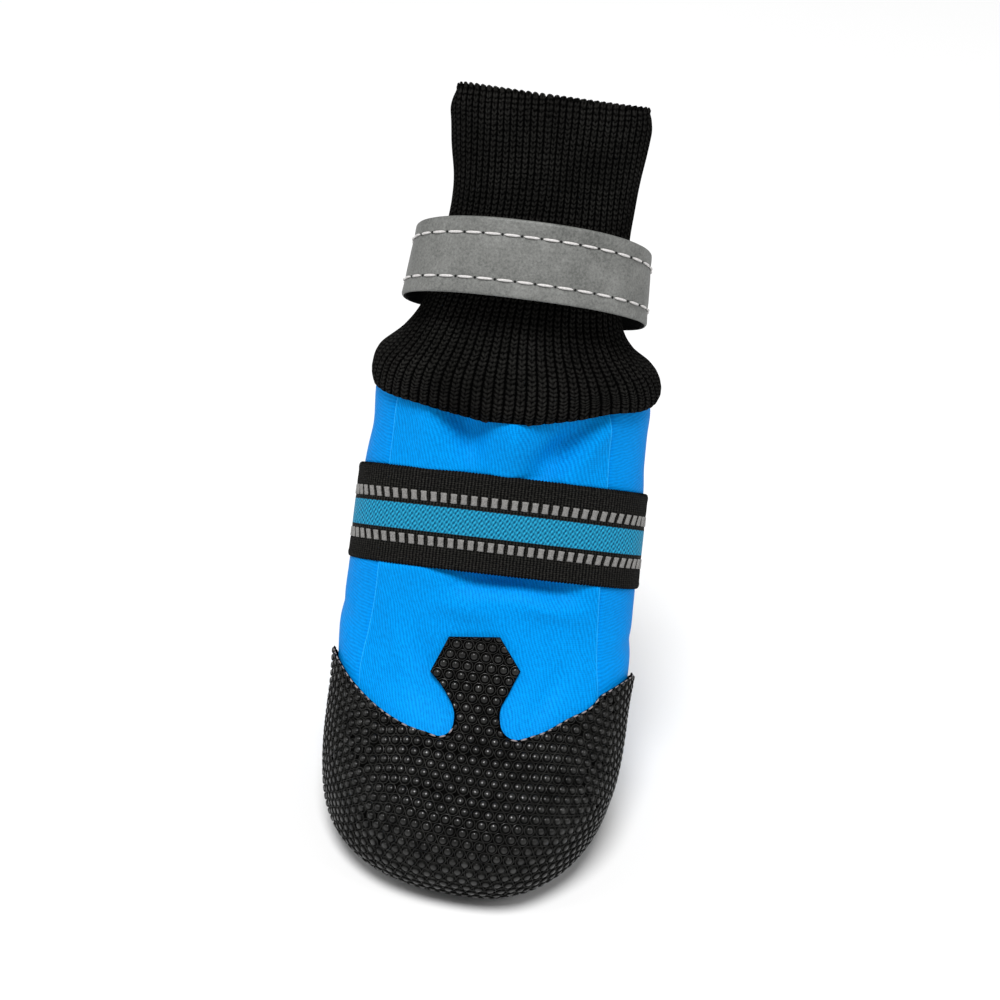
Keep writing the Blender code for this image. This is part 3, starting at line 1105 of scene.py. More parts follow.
@dataclass(frozen=True)
class Felt(Finish):
    """Short felt or loop pile."""

    name: str = "felt"
    low: Colour = (0.05, 0.05, 0.054)
    high: Colour = (0.11, 0.11, 0.115)

    def make(self, desk: Desk) -> None:
        """Fibres in all directions.

        Args:
            desk: Desk of the finish.
        """
        place = desk.place()
        fibre = desk.noise(place, 1500.0, 4.0, 0.7)
        tread = desk.noise(place, 60.0, 2.0)
        tone = (fibre * 0.7 + tread * 0.3).ramp(0.3, 0.7)
        desk.dress(desk.mix(tone, self.low, self.high), 0.95,
                          desk.relief(fibre, 0.2), Specular_IOR_Level=0.15)


TWILL = StretchTwill()
SIDE_TWILL = StretchTwill("side_twill", (0.0, 0.190, 0.59), (0.0, 0.295, 0.83),
                          lean=0.06, across=True)
TWILL_FOLD = StretchTwill("twill_fold", (0.01, 0.34, 0.88), (0.02, 0.46, 1.0), 0.6, 0.8)
LINING = Grained("lining", (0.02, 0.02, 0.022), (0.045, 0.045, 0.05), 1800.0, 3.0, 0.7,
                 roughness=0.95, depth=0.15, shine=0.2)
MESH = CoatedMesh()
STUD = StudRubber()
RIBS = RibKnit()
ELASTIC = WovenElastic()
TAPE = ReflectiveTape()
BACKING = Felt("tape_backing", (0.003, 0.003, 0.003), (0.010, 0.010, 0.010))
WHITE_THREAD = yarn("white_thread", (0.72, 0.70, 0.69), 0.72)
GREY_THREAD = yarn("grey_thread", (0.34, 0.30, 0.30), 0.6)
BLACK_THREAD = yarn("black_thread", (0.02, 0.02, 0.02), 0.5)
DASH_THREAD = yarn("dash_thread", (0.275, 0.268, 0.258), 0.5, 0.55)
NEEDLE_HOLE = yarn("needle_hole", (0.006, 0.006, 0.006), 0.5, 0.9)
PILE = Felt("hook_pile", (0.010, 0.010, 0.010), (0.03, 0.03, 0.03))
FOOTBED = Felt("footbed")
PALE_FLOOR = Grained("pale_floor", (0.86, 0.86, 0.86), (0.90, 0.90, 0.90), 2.0,
                     roughness=0.8, depth=0.0, shine=0.2)


# --- studded fabric ---------------------------------------------------------------------

SHEET = 1.2             # studded fabric without its studs
SHEET_OFFSET = GAP + SHEET
STUD_PITCH = 3.1
STUD_ROW_PITCH = 2.7
STUD_RADIUS = 1.5
STUD_PROFILE = ((1.50, -0.15), (1.47, 0.20), (1.38, 0.23), (1.31, 0.13), (1.28, -0.12),
                (1.07, -0.12), (1.03, 0.38), (0.90, 0.63), (0.56, 0.79), (0.0, 0.84))
TREAD_PROFILE = ((1.20, -0.15), (1.20, 0.08), (1.05, 0.45), (0.88, 0.68), (0.62, 0.74),
                 (0.0, 0.74))
TREAD_HEIGHT = 0.75     # of the sole's underside over the ground


class Part(Enum):
    """The piece that a stud stands on."""

    SOLE = "sole"
    CAP = "toe_cap"


class Stud(NamedTuple):
    """A stud's place, the ways out of and along its ground, and its size."""

    part: Part
    point: Array
    out: Array
    along: Array
    size: float

    def place(self) -> Matrix:
        """Where its shape is stamped."""
        return stand(self.point, self.out, self.along, self.size)


@dataclass(frozen=True)
class Rim:
    """The sole's rim as a level of the upper's form: low at the toe, high behind."""

    toe: float = 1.25
    side: float = 3.7
    front_y: float = -36.0
    side_y: float = 8.0

    def level(self, angle: Array) -> Array:
        """Level of the rim at angles round the boot."""
        y = UPPER_FORM.point(self.side, angle)[..., 1]
        return self.toe + (self.side - self.toe) * ease(
            (y - self.front_y) / (self.side_y - self.front_y))


class Knot(NamedTuple):
    """A point of the cap's flat pattern, and whether it is a corner."""

    across: float
    up: float
    corner: bool


@dataclass(frozen=True)
class CapPattern:
    """The toe cap's flat pattern, laid on from CAP_PITCH above the horizon."""

    knots: tuple[Knot, ...] = tuple(Knot(*row) for row in (
        (-62.0, -62.0, True), (-62.0, 37.5, True), (-39.6, 40.4, True),
        (-36.9, 36.8, False), (-31.2, 31.0, False), (-20.4, 24.2, False),
        (-12.5, 21.9, False), (-7.0, 21.7, False), (-5.3, 26.2, False),
        (-8.4, 32.6, False), (-12.8, 37.2, True), (-9.0, 46.6, True), (4.1, 47.9, True),
        (10.3, 39.8, True), (8.3, 34.7, False), (6.3, 28.0, False), (9.2, 22.7, False),
        (15.5, 23.9, False), (24.5, 29.5, False), (29.3, 32.6, False),
        (31.9, 36.0, True), (36.0, 38.9, False), (40.6, 42.3, True), (62.0, 42.8, True),
        (62.0, -62.0, True)))
    resolution: int = 14
    reach: float = 90.0     # half the cutter's depth
    last_edge: float = 41.2  # how far out the edge still lies on the boot

    def curve(self, solid: bool) -> Mesh:
        """The outline as a line of vertices, or as a deep solid, in place.

        Args:
            solid: True for the solid.

        Returns:
            Its mesh.
        """
        curve = bpy.data.curves.new("cap_pattern", "CURVE")
        curve.dimensions = "2D"
        curve.fill_mode = "BOTH" if solid else "NONE"
        curve.extrude = self.reach * MM if solid else 0.0
        curve.resolution_u = self.resolution
        spline = curve.splines.new("BEZIER")
        spline.use_cyclic_u = True
        spline.bezier_points.add(len(self.knots) - 1)
        for point, knot in zip(spline.bezier_points, self.knots):
            point.co = Vector((knot.across, knot.up, 0.0)) * MM
            handle = "VECTOR" if knot.corner else "AUTO"
            point.handle_left_type = point.handle_right_type = handle
        mesh = applied(linked("cap_pattern", curve))
        bpy.data.curves.remove(curve)
        if solid:
            mesh.transform(Matrix.Rotation(math.pi / 2 - CAP_PITCH, 4, "X"))
        return mesh

    def outline(self) -> Array:
        """The outline's points, as how far across and how far up.

        Returns:
            The points, by 2.
        """
        mesh = self.curve(False)
        points = np.array([vertex.co for vertex in mesh.vertices])[:, :2] / MM
        bpy.data.meshes.remove(mesh)
        return points

    def flat(self, points: Array) -> Array:
        """Where points of the boot lie on the flat pattern."""
        up = points[..., 1] * math.sin(CAP_PITCH) + points[..., 2] * math.cos(CAP_PITCH)
        return np.stack([points[..., 0], up], axis=-1)


def applied(piece: bpy.types.Object) -> Mesh:
    """The mesh of an object with its modifiers applied; the object goes.

    Args:
        piece: The object.

    Returns:
        The mesh.
    """
    bpy.context.view_layer.update()
    shown = piece.evaluated_get(bpy.context.evaluated_depsgraph_get())
    mesh = bpy.data.meshes.new_from_object(shown)
    bpy.data.objects.remove(piece, do_unlink=True)
    return mesh


def inside(outline: Array, points: Array) -> Array:
    """Whether points lie inside a closed outline.

    Args:
        outline: Its corners, by 2.
        points: The points, by 2.

    Returns:
        True for each that does.
    """
    x, y = points[:, 0, None], points[:, 1, None]
    start, end = outline, np.roll(outline, -1, axis=0)
    crosses = (start[:, 1] > y) != (end[:, 1] > y)
    rise = np.where(end[:, 1] == start[:, 1], 1.0, end[:, 1] - start[:, 1])
    at = start[:, 0] + (y - start[:, 1]) * (end[:, 0] - start[:, 0]) / rise
    return (crosses & (x < at)).sum(axis=1) % 2 == 1


@dataclass
class StudGround:
    """The studded surface from the tread's edge over the rim to above the cap's tab."""

    rim: Rim
    pattern: CapPattern
    columns: int = 720
    bottom_rows: int = 4
    sole_rows: int = 44
    cap_rows: int = 150
    top_level: float = 8.5
    flare: float = 0.5          # how far the cap's ears stand off
    flare_width: float = 6.5
    ears: tuple[Pair, ...] = ((6.6, 180.0), (6.8, 0.0))
    toe_slope: float = 0.28     # fall of the lowest rows as they run back
    tab_slope: float = 0.70     # and of the highest
    toe_lean: float = 0.06      # fall of the lowest rows towards +X
    fall_reach: float = 30.0
    side_level: float = 0.75    # where the side's rows start
    side_size: float = 0.80     # of the studs at the sides, beside those in front
    side_start: float = 0.50    # how far round from the front they start to shrink
    side_full: float = 1.15
    clearance: float = 2.3      # least distance between studs at first
    closer: float = 0.05        # share of it that each stage takes off
    reach: float = 3.15         # distance within which studs push each other apart
    stages: int = 5
    rounds: int = 14
    tab_start: float = 23.0     # where the tab begins on the flat pattern
    tab_middle: float = -1.0
    tab_half: float = 17.0
    border: float = 1.7         # bare edge at the rim behind the cap
    cap_back: float = math.radians(6.0)  # how far behind the widest line the cap goes

    def __post_init__(self) -> None:
        """Lay the grid of points and the directions on it."""
        angle = np.arange(self.columns) * TURN / self.columns
        rim = self.rim.level(angle)
        share = np.linspace(0.0, 1.0, self.sole_rows)[:, None]
        wall = UPPER_FORM.lay(rim[None, :] * share, angle[None, :], SHEET_OFFSET)
        edge = tread_edge(angle)
        mixed = np.linspace(0.0, 1.0, self.bottom_rows, endpoint=False)[:, None, None]
        bottom = edge[None] * (1.0 - mixed) + wall[:1] * mixed
        step = np.linspace(0.0, 1.0, self.cap_rows + 1)[1:, None]
        level = rim[None, :] + (self.top_level - rim[None, :]) * step
        cap = self.cap_point(level, angle[None, :], SHEET_OFFSET)
        self.points = np.concatenate([bottom, wall, cap])
        self.rim_row = self.bottom_rows + self.sole_rows - 1
        self.up = np.gradient(self.points, axis=0)
        self.round = (np.roll(self.points, -1, axis=1)
                      - np.roll(self.points, 1, axis=1)) / 2
        self.along = unit(self.round)
        self.out = unit(np.cross(self.up, self.round))
        self.run = run_length(self.points, 0)
        self.front = self.columns // 4

    def cap_point(self, level: Array, angle: Array, offset: float) -> Array:
        """Points of the cap, whose ears stand off the upper.

        Args:
            level: Levels.
            angle: Angles.
            offset: How far outwards.

        Returns:
            The points.
        """
        points = UPPER_FORM.lay(level, angle, offset)
        out, _, _ = UPPER_FORM.axes(level, angle)
        for ear_level, ear_angle in self.ears:
            ear = UPPER_FORM.lay(ear_level, math.radians(ear_angle), offset)
            away = np.linalg.norm(points - ear, axis=-1)
            points = points + out * (self.flare * hump(away, self.flare_width))[..., None]
        return points

    def sample(self, grid: Array, row: Array, column: Array) -> Array:
        """Values of a grid at fractional rows and columns.

        Args:
            grid: The grid.
            row: Rows.
            column: Columns, which wrap round.

        Returns:
            The values.
        """
        low_row = np.clip(np.floor(row).astype(int), 0, grid.shape[0] - 2)
        low_column = np.floor(column).astype(int)
        up, on = (row - low_row)[:, None], (column - low_column)[:, None]
        first, second = low_column % self.columns, (low_column + 1) % self.columns
        low, high = (grid[place, first] * (1 - on) + grid[place, second] * on
                     for place in (low_row, low_row + 1))
        return low * (1 - up) + high * up

    def line(self, height: Array, shifted: bool) -> Array:
        """Places along one row of studs.

        Args:
            height: Grid that is 0 along the row and grows upwards.
            shifted: True if the row is half a pitch out of step.

        Returns:
            Fractional rows and columns of its studs.
        """
        above = height >= 0.0
        row = np.argmax(above, axis=0)
        found = above.any(axis=0) & (row > 0)
        column = np.arange(self.columns)
        before = height[np.maximum(row - 1, 0), column]
        after = height[row, column]
        crossing = row - 1 + before / np.where(before == after, 1.0, before - after)
        if not found[self.front]:
            return np.empty((0, 2))
        places = []
        for way in (1, -1):
            track = self.front + way * np.arange(self.columns // 2 + 1)
            lost = np.flatnonzero(~found[track % self.columns])
            track = track[:lost[0]] if len(lost) else track
            rows = crossing[track % self.columns]
            trail = self.sample(self.points, rows, track.astype(float))
            run = path_length(trail)
            first = STUD_PITCH * (0.5 if shifted else float(way < 0))
            spots = np.arange(first, run[-1] - STUD_PITCH * 0.3, STUD_PITCH)
            places += zip(np.interp(spots, run, rows), np.interp(spots, run, track))
        return np.array(places).reshape(-1, 2)

    def lines(self) -> Iterable[Array]:
        """Rows of studs up the boot, which fall as they run back.

        Returns:
            Fractional rows and columns of the studs, for each row.
        """
        middle = self.points[:, self.front]
        run = self.run[:, self.front]
        start = run[self.bottom_rows] + STUD_ROW_PITCH * 0.9
        for count, spot in enumerate(np.arange(start, run[-1], STUD_ROW_PITCH)):
            here = np.array([np.interp(spot, run, middle[:, axis]) for axis in range(3)])
            share = ease((spot - run[self.rim_row]) / (run[-1] - run[self.rim_row]))
            slope = self.toe_slope + (self.tab_slope - self.toe_slope) * share
            x, y, z = np.moveaxis(self.points - here, -1, 0)
            fall = slope * self.fall_reach * np.tanh(y / self.fall_reach)
            yield self.line(z + fall + self.toe_lean * (1.0 - share) * x, count % 2 == 1)

    def in_front(self, column: Array, margin: float) -> Array:
        """Whether columns lie under the cap, or less than margin behind it."""
        behind = self.cap_back + margin
        return (column * TURN / self.columns + behind) % TURN < math.pi + 2 * behind

    def lowest(self, column: Array) -> Array:
        """The lowest row that studs of the side stand on."""
        rim = self.rim.level(column * TURN / self.columns)
        return self.bottom_rows + (self.sole_rows - 1) * self.side_level / rim

    def size(self, column: Array) -> Array:
        """Size of the studs at columns."""
        aside = np.abs(np.angle(np.exp(1j * (column * TURN / self.columns - FRONT))))
        return 1.0 - (1.0 - self.side_size) * ease(
            (aside - self.side_start) / (self.side_full - self.side_start))

    def spread(self) -> Array:
        """Fractional rows and columns of studs all over, evenly apart.

        Returns:
            The rows and columns, by 2.
        """
        gaps = np.mgrid[0:len(self.points) - 1:3, 0:self.columns:3].reshape(2, -1).T
        spots = np.concatenate(list(self.lines()))
        spots = spots[self.size(spots[:, 1]) > 0.98]
        for stage in range(self.stages):
            spots = np.concatenate([spots, gaps])
            row, column = spots.T
            spots = spots[(row > self.lowest(column)) & (
                (row < self.rim_row + 8) | self.in_front(column, 0.3))]
            clearance = (self.clearance * (1.0 - self.closer * stage)
                         * self.size(spots[:, 1]))
            spots = spots[thinned(self.sample(self.points, *spots.T), clearance)]
            spots = self.relaxed(spots)
        return spots

    def relaxed(self, spots: Array) -> Array:
        """Studs pushed apart along the surface; those of the tab stay.

        Args:
            spots: Rows and columns, by 2.

        Returns:
            The new ones.
        """
        across, high = self.pattern.flat(self.sample(self.points, *spots.T)).T
        aside = np.abs(across - self.tab_middle)
        on_tab = ease((high - self.tab_start) / 7.0) * ease((self.tab_half - aside) / 5.0)
        size = self.size(spots[:, 1])
        reach = self.reach * (size[:, None] + size[None]) / 2
        for _ in range(self.rounds):
            row, column = spots.T
            points = self.sample(self.points, row, column)
            apart = points[:, None] - points[None]
            gap = np.linalg.norm(apart, axis=-1) + self.reach * np.eye(len(points))
            push = np.clip(reach / gap - 1.0, 0.0, 0.5)
            push = (apart * push[..., None]).sum(axis=1) * (0.3 * (1.0 - on_tab))[:, None]
            rise, turn = (self.sample(way, row, column) for way in (self.up, self.round))
            rises, turns = (push * rise).sum(axis=1), (push * turn).sum(axis=1)
            rr, tt, rt = (rise ** 2).sum(1), (turn ** 2).sum(1), (rise * turn).sum(1)
            area = rr * tt - rt ** 2
            row = row + (tt * rises - rt * turns) / area
            column = column + (rr * turns - rt * rises) / area
            row = np.clip(row, self.lowest(column), len(self.points) - 1.001)
            spots = np.stack([row, column], axis=-1)
        return spots

    def studs(self) -> list[Stud]:
        """Every stud of the cap and of the side of the sole.

        Returns:
            The studs.
        """
        row, column = self.spread().T
        points = self.sample(self.points, row, column)
        out = unit(self.sample(self.out, row, column))
        along = unit(self.sample(self.along, row, column))
        outline = self.pattern.outline()
        flat = self.pattern.flat(points)
        to_edge = np.linalg.norm(flat[:, None] - resampled(outline)[None], axis=-1)
        on_cap = row > self.rim_row
        run = self.sample(self.run[..., None], row, column)[:, 0]
        top = np.interp(column % self.columns, np.arange(self.columns),
                        self.run[self.rim_row])
        in_front = self.in_front(column, 0.0)
        keep = np.where(
            on_cap, in_front & (inside(outline, flat) | (to_edge.min(axis=1) < 1.2)),
            run < top - np.where(in_front, 0.0, self.border))
        size = self.size(column)
        return [Stud(Part.CAP if on_cap[i] else Part.SOLE, points[i], out[i], along[i],
                     size[i]) for i in np.flatnonzero(keep)]


def tread_edge(angle: Array, inset: float = 0.3, height: float = TREAD_HEIGHT) -> Array:
    """The edge of the sole's underside, flat on its plane."""
    return flat_outline(TREAD, angle, inset, height)


def tree_of(points: Array) -> KDTree:
    """A tree that finds the nearest of points.

    Args:
        points: The points.

    Returns:
        The tree.
    """
    tree = KDTree(len(points))
    for place, point in enumerate(points):
        tree.insert(Vector(point), place)
    tree.balance()
    return tree


def thinned(points: Array, clearances: Array) -> list[int]:
    """Which points keep clear of those before them.

    Args:
        points: The points.
        clearances: How clear each has to be.

    Returns:
        The places of those kept.
    """
    tree = tree_of(points)
    kept: dict[int, None] = {}
    for place, (point, clearance) in enumerate(zip(points, clearances)):
        near = tree.find_range(Vector(point), clearance)
        if not any(other in kept for _, other, _ in near):
            kept[place] = None
    return list(kept)


class Edge(NamedTuple):
    """Points along a cut edge, with the normals there and the ways along and inwards."""

    points: Array
    normals: Array
    along: Array
    inwards: Array


def cut_studs(name: str, shape: Mesh, studs: Sequence[Stud], edge: Edge,
              pattern: CapPattern) -> Mesh:
    """Stamp studs, and slice those that reach over a cut edge.

    Args:
        name: Name of the mesh.
        shape: One stud.
        studs: Their places.
        edge: The cut edge.
        pattern: The pattern that is cut out.

    Returns:
        The mesh of all of them.
    """
    tree = tree_of(edge.points)
    points = np.array([stud.point for stud in studs])
    whole = inside(pattern.outline(), pattern.flat(points))
    last = len(edge.points) - 1
    sheet = bmesh.new()
    for stud, within in zip(studs, whole):
        _, nearest, away = tree.find(Vector(stud.point))
        if not within and away > STUD_RADIUS - 0.3:
            continue
        one = shape.copy()
        one.transform(stud.place())
        if away < STUD_RADIUS + 0.25:
            part = bmesh.new()
            part.from_mesh(one)
            for place in {max(nearest - 5, 0), nearest, min(nearest + 5, last)}:
                way = Vector(edge.inwards[place])
                bmesh.ops.bisect_plane(
                    part, geom=[*part.verts, *part.edges, *part.faces], plane_no=-way,
                    plane_co=(Vector(edge.points[place]) + way * 0.12) * MM,
                    clear_outer=True)
                rims = [line for line in part.edges if line.is_boundary]
                bmesh.ops.holes_fill(part, edges=rims, sides=0)
            part.to_mesh(one)
            part.free()
        sheet.from_mesh(one)
        bpy.data.meshes.remove(one)
    return finished_mesh(name, sheet, SHARP)


# --- sole -------------------------------------------------------------------------------

@dataclass
class Sole:
    """The cup sole: a studded tread and side, with a stitched rim behind the cap."""

    ground: StudGround
    columns: int = 240
    side_rows: int = 22
    inner_offset: float = 0.12
    floor_height: float = 3.0
    stitch_pitch: float = 2.6
    stitch_drop: float = 0.85   # under the rim
    tread_rows: int = 18        # either way from the middle
    tread_columns: int = 14
    tread_slope: float = 0.45   # how far down a face has to look to hold a stud

    def build(self, studs: Sequence[Stud]) -> None:
        """Make the sole, its studs, its tread and the stitches along its rim.

        Args:
            studs: Every stud.
        """
        shell = add_draped("sole_shell", self.shell(), [MESH], "sole", fill=True)
        side = [stud for stud in studs if stud.part is Part.SOLE]
        shape = lathe("stud", STUD_PROFILE, 10)
        add_stamped("sole_studs", shape, (stud.place() for stud in side), STUD)
        shape = lathe("tread_stud", TREAD_PROFILE, 8)
        add_stamped("tread_studs", shape, self.tread(shell, side), STUD)
        stitch = thread("rim_stitch", 1.9, 0.42, 0.16)
        add_stamped("rim_stitches", stitch, self.rim_stitches(), BLACK_THREAD)

    def shell(self) -> Array:
        """Rows of points from the tread over the rim to the floor inside.

        Returns:
            Rows by columns by 3.
        """
        angle = np.linspace(0.0, TURN, self.columns + 1)
        rim = self.ground.rim.level(angle)
        radius = (SHEET_OFFSET - self.inner_offset) / 2
        rows = [tread_edge(angle, 3.0), tread_edge(angle)]
        base = UPPER_FORM.lay(rim * 0.0, angle, SHEET_OFFSET)
        rows += [rows[1] * (1 - share) + base * share for share in (0.25, 0.5, 0.75)]
        rows += [UPPER_FORM.lay(rim * share, angle, SHEET_OFFSET)
                 for share in np.linspace(0.0, 1.0, self.side_rows)]
        for turn in np.linspace(0.0, math.pi, 7)[1:-1]:
            rows.append(UPPER_FORM.lay(
                rim, angle, self.inner_offset + radius * (1.0 + math.cos(turn)),
                0.55 * radius * math.sin(turn)))
        rows += [UPPER_FORM.lay(rim * share, angle, self.inner_offset)
                 for share in np.linspace(1.0, 0.0, 6)]
        rows.append(tread_edge(angle, 1.0, self.floor_height))
        return np.array(rows)

    def tread(self, shell: bpy.types.Object, side: Sequence[Stud]) -> list[Matrix]:
        """Places of the studs under the sole, laid on from below.

        Args:
            shell: The piece that they stand on.
            side: The studs of its side.

        Returns:
            The places.
        """
        skin = bmesh.new()
        skin.from_mesh(shell.data)
        tree = BVHTree.FromBMesh(skin)
        skin.free()
        taken = tree_of([stud.point for stud in side])
        places = []
        for row in range(-self.tread_rows, self.tread_rows + 1):
            for column in range(-self.tread_columns, self.tread_columns + 1):
                spot = Vector(((column + 0.5 * (row % 2)) * STUD_PITCH,
                               row * STUD_ROW_PITCH, -10.0))
                hit, normal, _, _ = tree.ray_cast(spot * MM, Vector((0.0, 0.0, 1.0)))
                if hit is None or normal.z > -self.tread_slope:
                    continue
                spot = hit / MM
                if taken.find(spot)[2] > self.ground.clearance:
                    lean = math.sqrt(1.0 - normal.z ** 2)
                    low = max(radius * lean - height * normal.z
                              for radius, height in TREAD_PROFILE)
                    spot = spot + normal * min((low - spot.z) / normal.z, 0.0)
                    places.append(stand(spot, normal, (1.0, 0.0, 0.0)))
        return places

    def rim_stitches(self) -> list[Matrix]:
        """Places of the stitches along the rim, behind the cap.

        Returns:
            The places.
        """
        angle = np.linspace(math.pi + self.ground.cap_back,
                            TURN - self.ground.cap_back, 600)
        level = self.ground.rim.level(angle)
        offset, rise = SHEET_OFFSET + 0.02, -self.stitch_drop
        run = path_length(UPPER_FORM.lay(level, angle, offset, rise))
        spots = np.arange(self.stitch_pitch, run[-1], self.stitch_pitch)
        nearest = np.searchsorted(run, spots)
        return UPPER_FORM.stands(level[nearest], angle[nearest], offset, rise)


# --- toe cap ----------------------------------------------------------------------------

@dataclass
class ToeCap:
    """The studded toe cap with its puzzle tab."""

    ground: StudGround
    columns: int = 190
    rows: int = 104
    inner_offset: float = 0.1
    seam: float = 0.02          # levels above the sole's rim
    stitch_pitch: float = 2.55
    stitch_inset: float = 0.22
    bare_across: Pair = (-14.0, 10.6)

    def build(self, studs: Sequence[Stud]) -> None:
        """Make the cap's sheet, its studs and the stitches along its edge.

        Args:
            studs: Every stud.
        """
        add_piece("toe_cap_sheet", self.sheet(), [MESH], ["toe_cap"])
        edge = self.edge()
        shape = lathe("stud", STUD_PROFILE, 10)
        mine = [stud for stud in studs if stud.part is Part.CAP]
        add_piece("toe_cap_studs", cut_studs(
            "toe_cap_studs", shape, mine, edge, self.ground.pattern), [STUD])
        stitch = thread("edge_stitch", 1.7, 0.42, 0.16, sides=6)
        add_stamped("toe_cap_stitches", stitch, self.stitches(edge), GREY_THREAD)

    def sheet(self) -> Mesh:
        """The curved sheet, cut along the pattern.

        Returns:
            The mesh.
        """
        reach = self.ground.cap_back + math.radians(1.0)
        angle = np.linspace(-reach, math.pi + reach, self.columns)
        low = self.ground.rim.level(angle) + self.seam
        share = np.linspace(0.0, 1.0, self.rows)[:, None]
        level = low + (self.ground.top_level - low) * share
        outer = self.ground.cap_point(level, angle[None, :], SHEET_OFFSET - 0.04)
        inner = self.ground.cap_point(level, angle[None, :], self.inner_offset)
        points = np.concatenate([outer, inner[::-1], outer[:1]])
        cap = linked("cap", drape("cap", points, fill=True))
        cutter = linked("cutter", self.cutter())
        cut = cap.modifiers.new("pattern", "BOOLEAN")
        cut.operation, cut.solver, cut.object = "INTERSECT", "EXACT", cutter
        mesh = applied(cap)
        bpy.data.objects.remove(cutter, do_unlink=True)
        mesh.materials.clear()
        mesh.name = "toe_cap_sheet"
        mesh.shade_smooth()
        mesh.set_sharp_from_angle(angle=math.radians(40.0))
        return mesh

    def cutter(self) -> Mesh:
        """The pattern as a deep, closed solid.

        Returns:
            The mesh.
        """
        mesh = self.ground.pattern.curve(True)
        solid = bmesh.new()
        solid.from_mesh(mesh)
        bmesh.ops.remove_doubles(solid, verts=solid.verts, dist=WELD * MM)
        bmesh.ops.recalc_face_normals(solid, faces=solid.faces)
        solid.to_mesh(mesh)
        solid.free()
        return mesh

    def edge(self) -> Edge:
        """The cap's cut edge on its surface.

        Returns:
            The edge.
        """
        ground = self.ground
        skin = grid_of(ground.points[ground.rim_row:])
        skin.normal_update()
        tree = BVHTree.FromBMesh(skin)
        skin.free()
        lay_on = Vector((0.0, math.cos(CAP_PITCH), -math.sin(CAP_PITCH)))
        up = Vector((0.0, math.sin(CAP_PITCH), math.cos(CAP_PITCH)))
        outline = ground.pattern.outline()
        points, normals = [], []
        for across, height in resampled(outline):
            if abs(across) > ground.pattern.last_edge:
                continue
            start = Vector((across, 0.0, 0.0)) + up * height - lay_on * 200.0
            hit, normal, _, _ = tree.ray_cast(start, lay_on)
            if hit is not None:
                points.append(hit)
                normals.append(normal if normal.dot(lay_on) < 0 else -normal)
        points, normals = np.array(points), np.array(normals)
        along = unit(np.gradient(points, axis=0))
        inwards = unit(np.cross(normals, along))
        trial = inside(outline, ground.pattern.flat(points + inwards * 0.5))
        return Edge(points, normals, along, inwards * np.where(trial, 1.0, -1.0)[:, None])

    def stitches(self, edge: Edge) -> list[Matrix]:
        """Places of the stitches just inside the cut edge.

        Args:
            edge: The cut edge.

        Returns:
            The places.
        """
        flat = self.ground.pattern.flat(edge.points)
        run = path_length(edge.points)
        spots = np.searchsorted(run, np.arange(0.6, run[-1], self.stitch_pitch))
        points = edge.points + edge.inwards * self.stitch_inset
        return [stand(points[i], edge.normals[i], edge.along[i])
                for i in spots if not self.bare(flat[i])]

    def bare(self, place: Array) -> bool:
        """Whether the edge has no stitches there, as round the tab."""
        left, right = self.bare_across
        return left < place[0] < right and place[1] > self.ground.tab_start


def resampled(outline: Array) -> Array:
    """Points at even steps along a closed outline.

    Args:
        outline: Its corners, by 2.

    Returns:
        The points.
    """
    closed = np.vstack([outline, outline[:1]])
    run = path_length(closed)
    spots = np.arange(0.0, run[-1], OUTLINE_STEP)
    return np.stack([np.interp(spots, run, closed[:, axis]) for axis in (0, 1)], axis=-1)


# --- upper ------------------------------------------------------------------------------

@dataclass(frozen=True)
class Fold:
    """A soft dent or ridge in the fabric, at a level and an angle in degrees.

    It leans from along the turn towards up the surface, and is length by width with a
    height that is negative for a dent.
    """

    level: float
    angle: float
    lean: float
    length: float
    width: float
    height: float
    reach: float = 14.0

    def push(self, points: Array) -> Array:
        """How far it moves points outwards.

        Args:
            points: The points.

        Returns:
            The distance for each.
        """
        angle = math.radians(self.angle)
        out, up, along = UPPER_FORM.axes(self.level, angle)
        lean = math.radians(self.lean)
        way = along * math.cos(lean) + up * math.sin(lean)
        gap = points - UPPER_FORM.point(self.level, angle)
        across = np.cross(out, way)
        return (self.height * hump(gap @ way, self.length)
                * hump(gap @ across, self.width) * hump(gap @ out, self.reach))


class Pocket(NamedTuple):
    """A dark pocket of the fabric just below the band, at an angle in degrees."""

    angle: float
    length: float
    drop: float
    depth: float


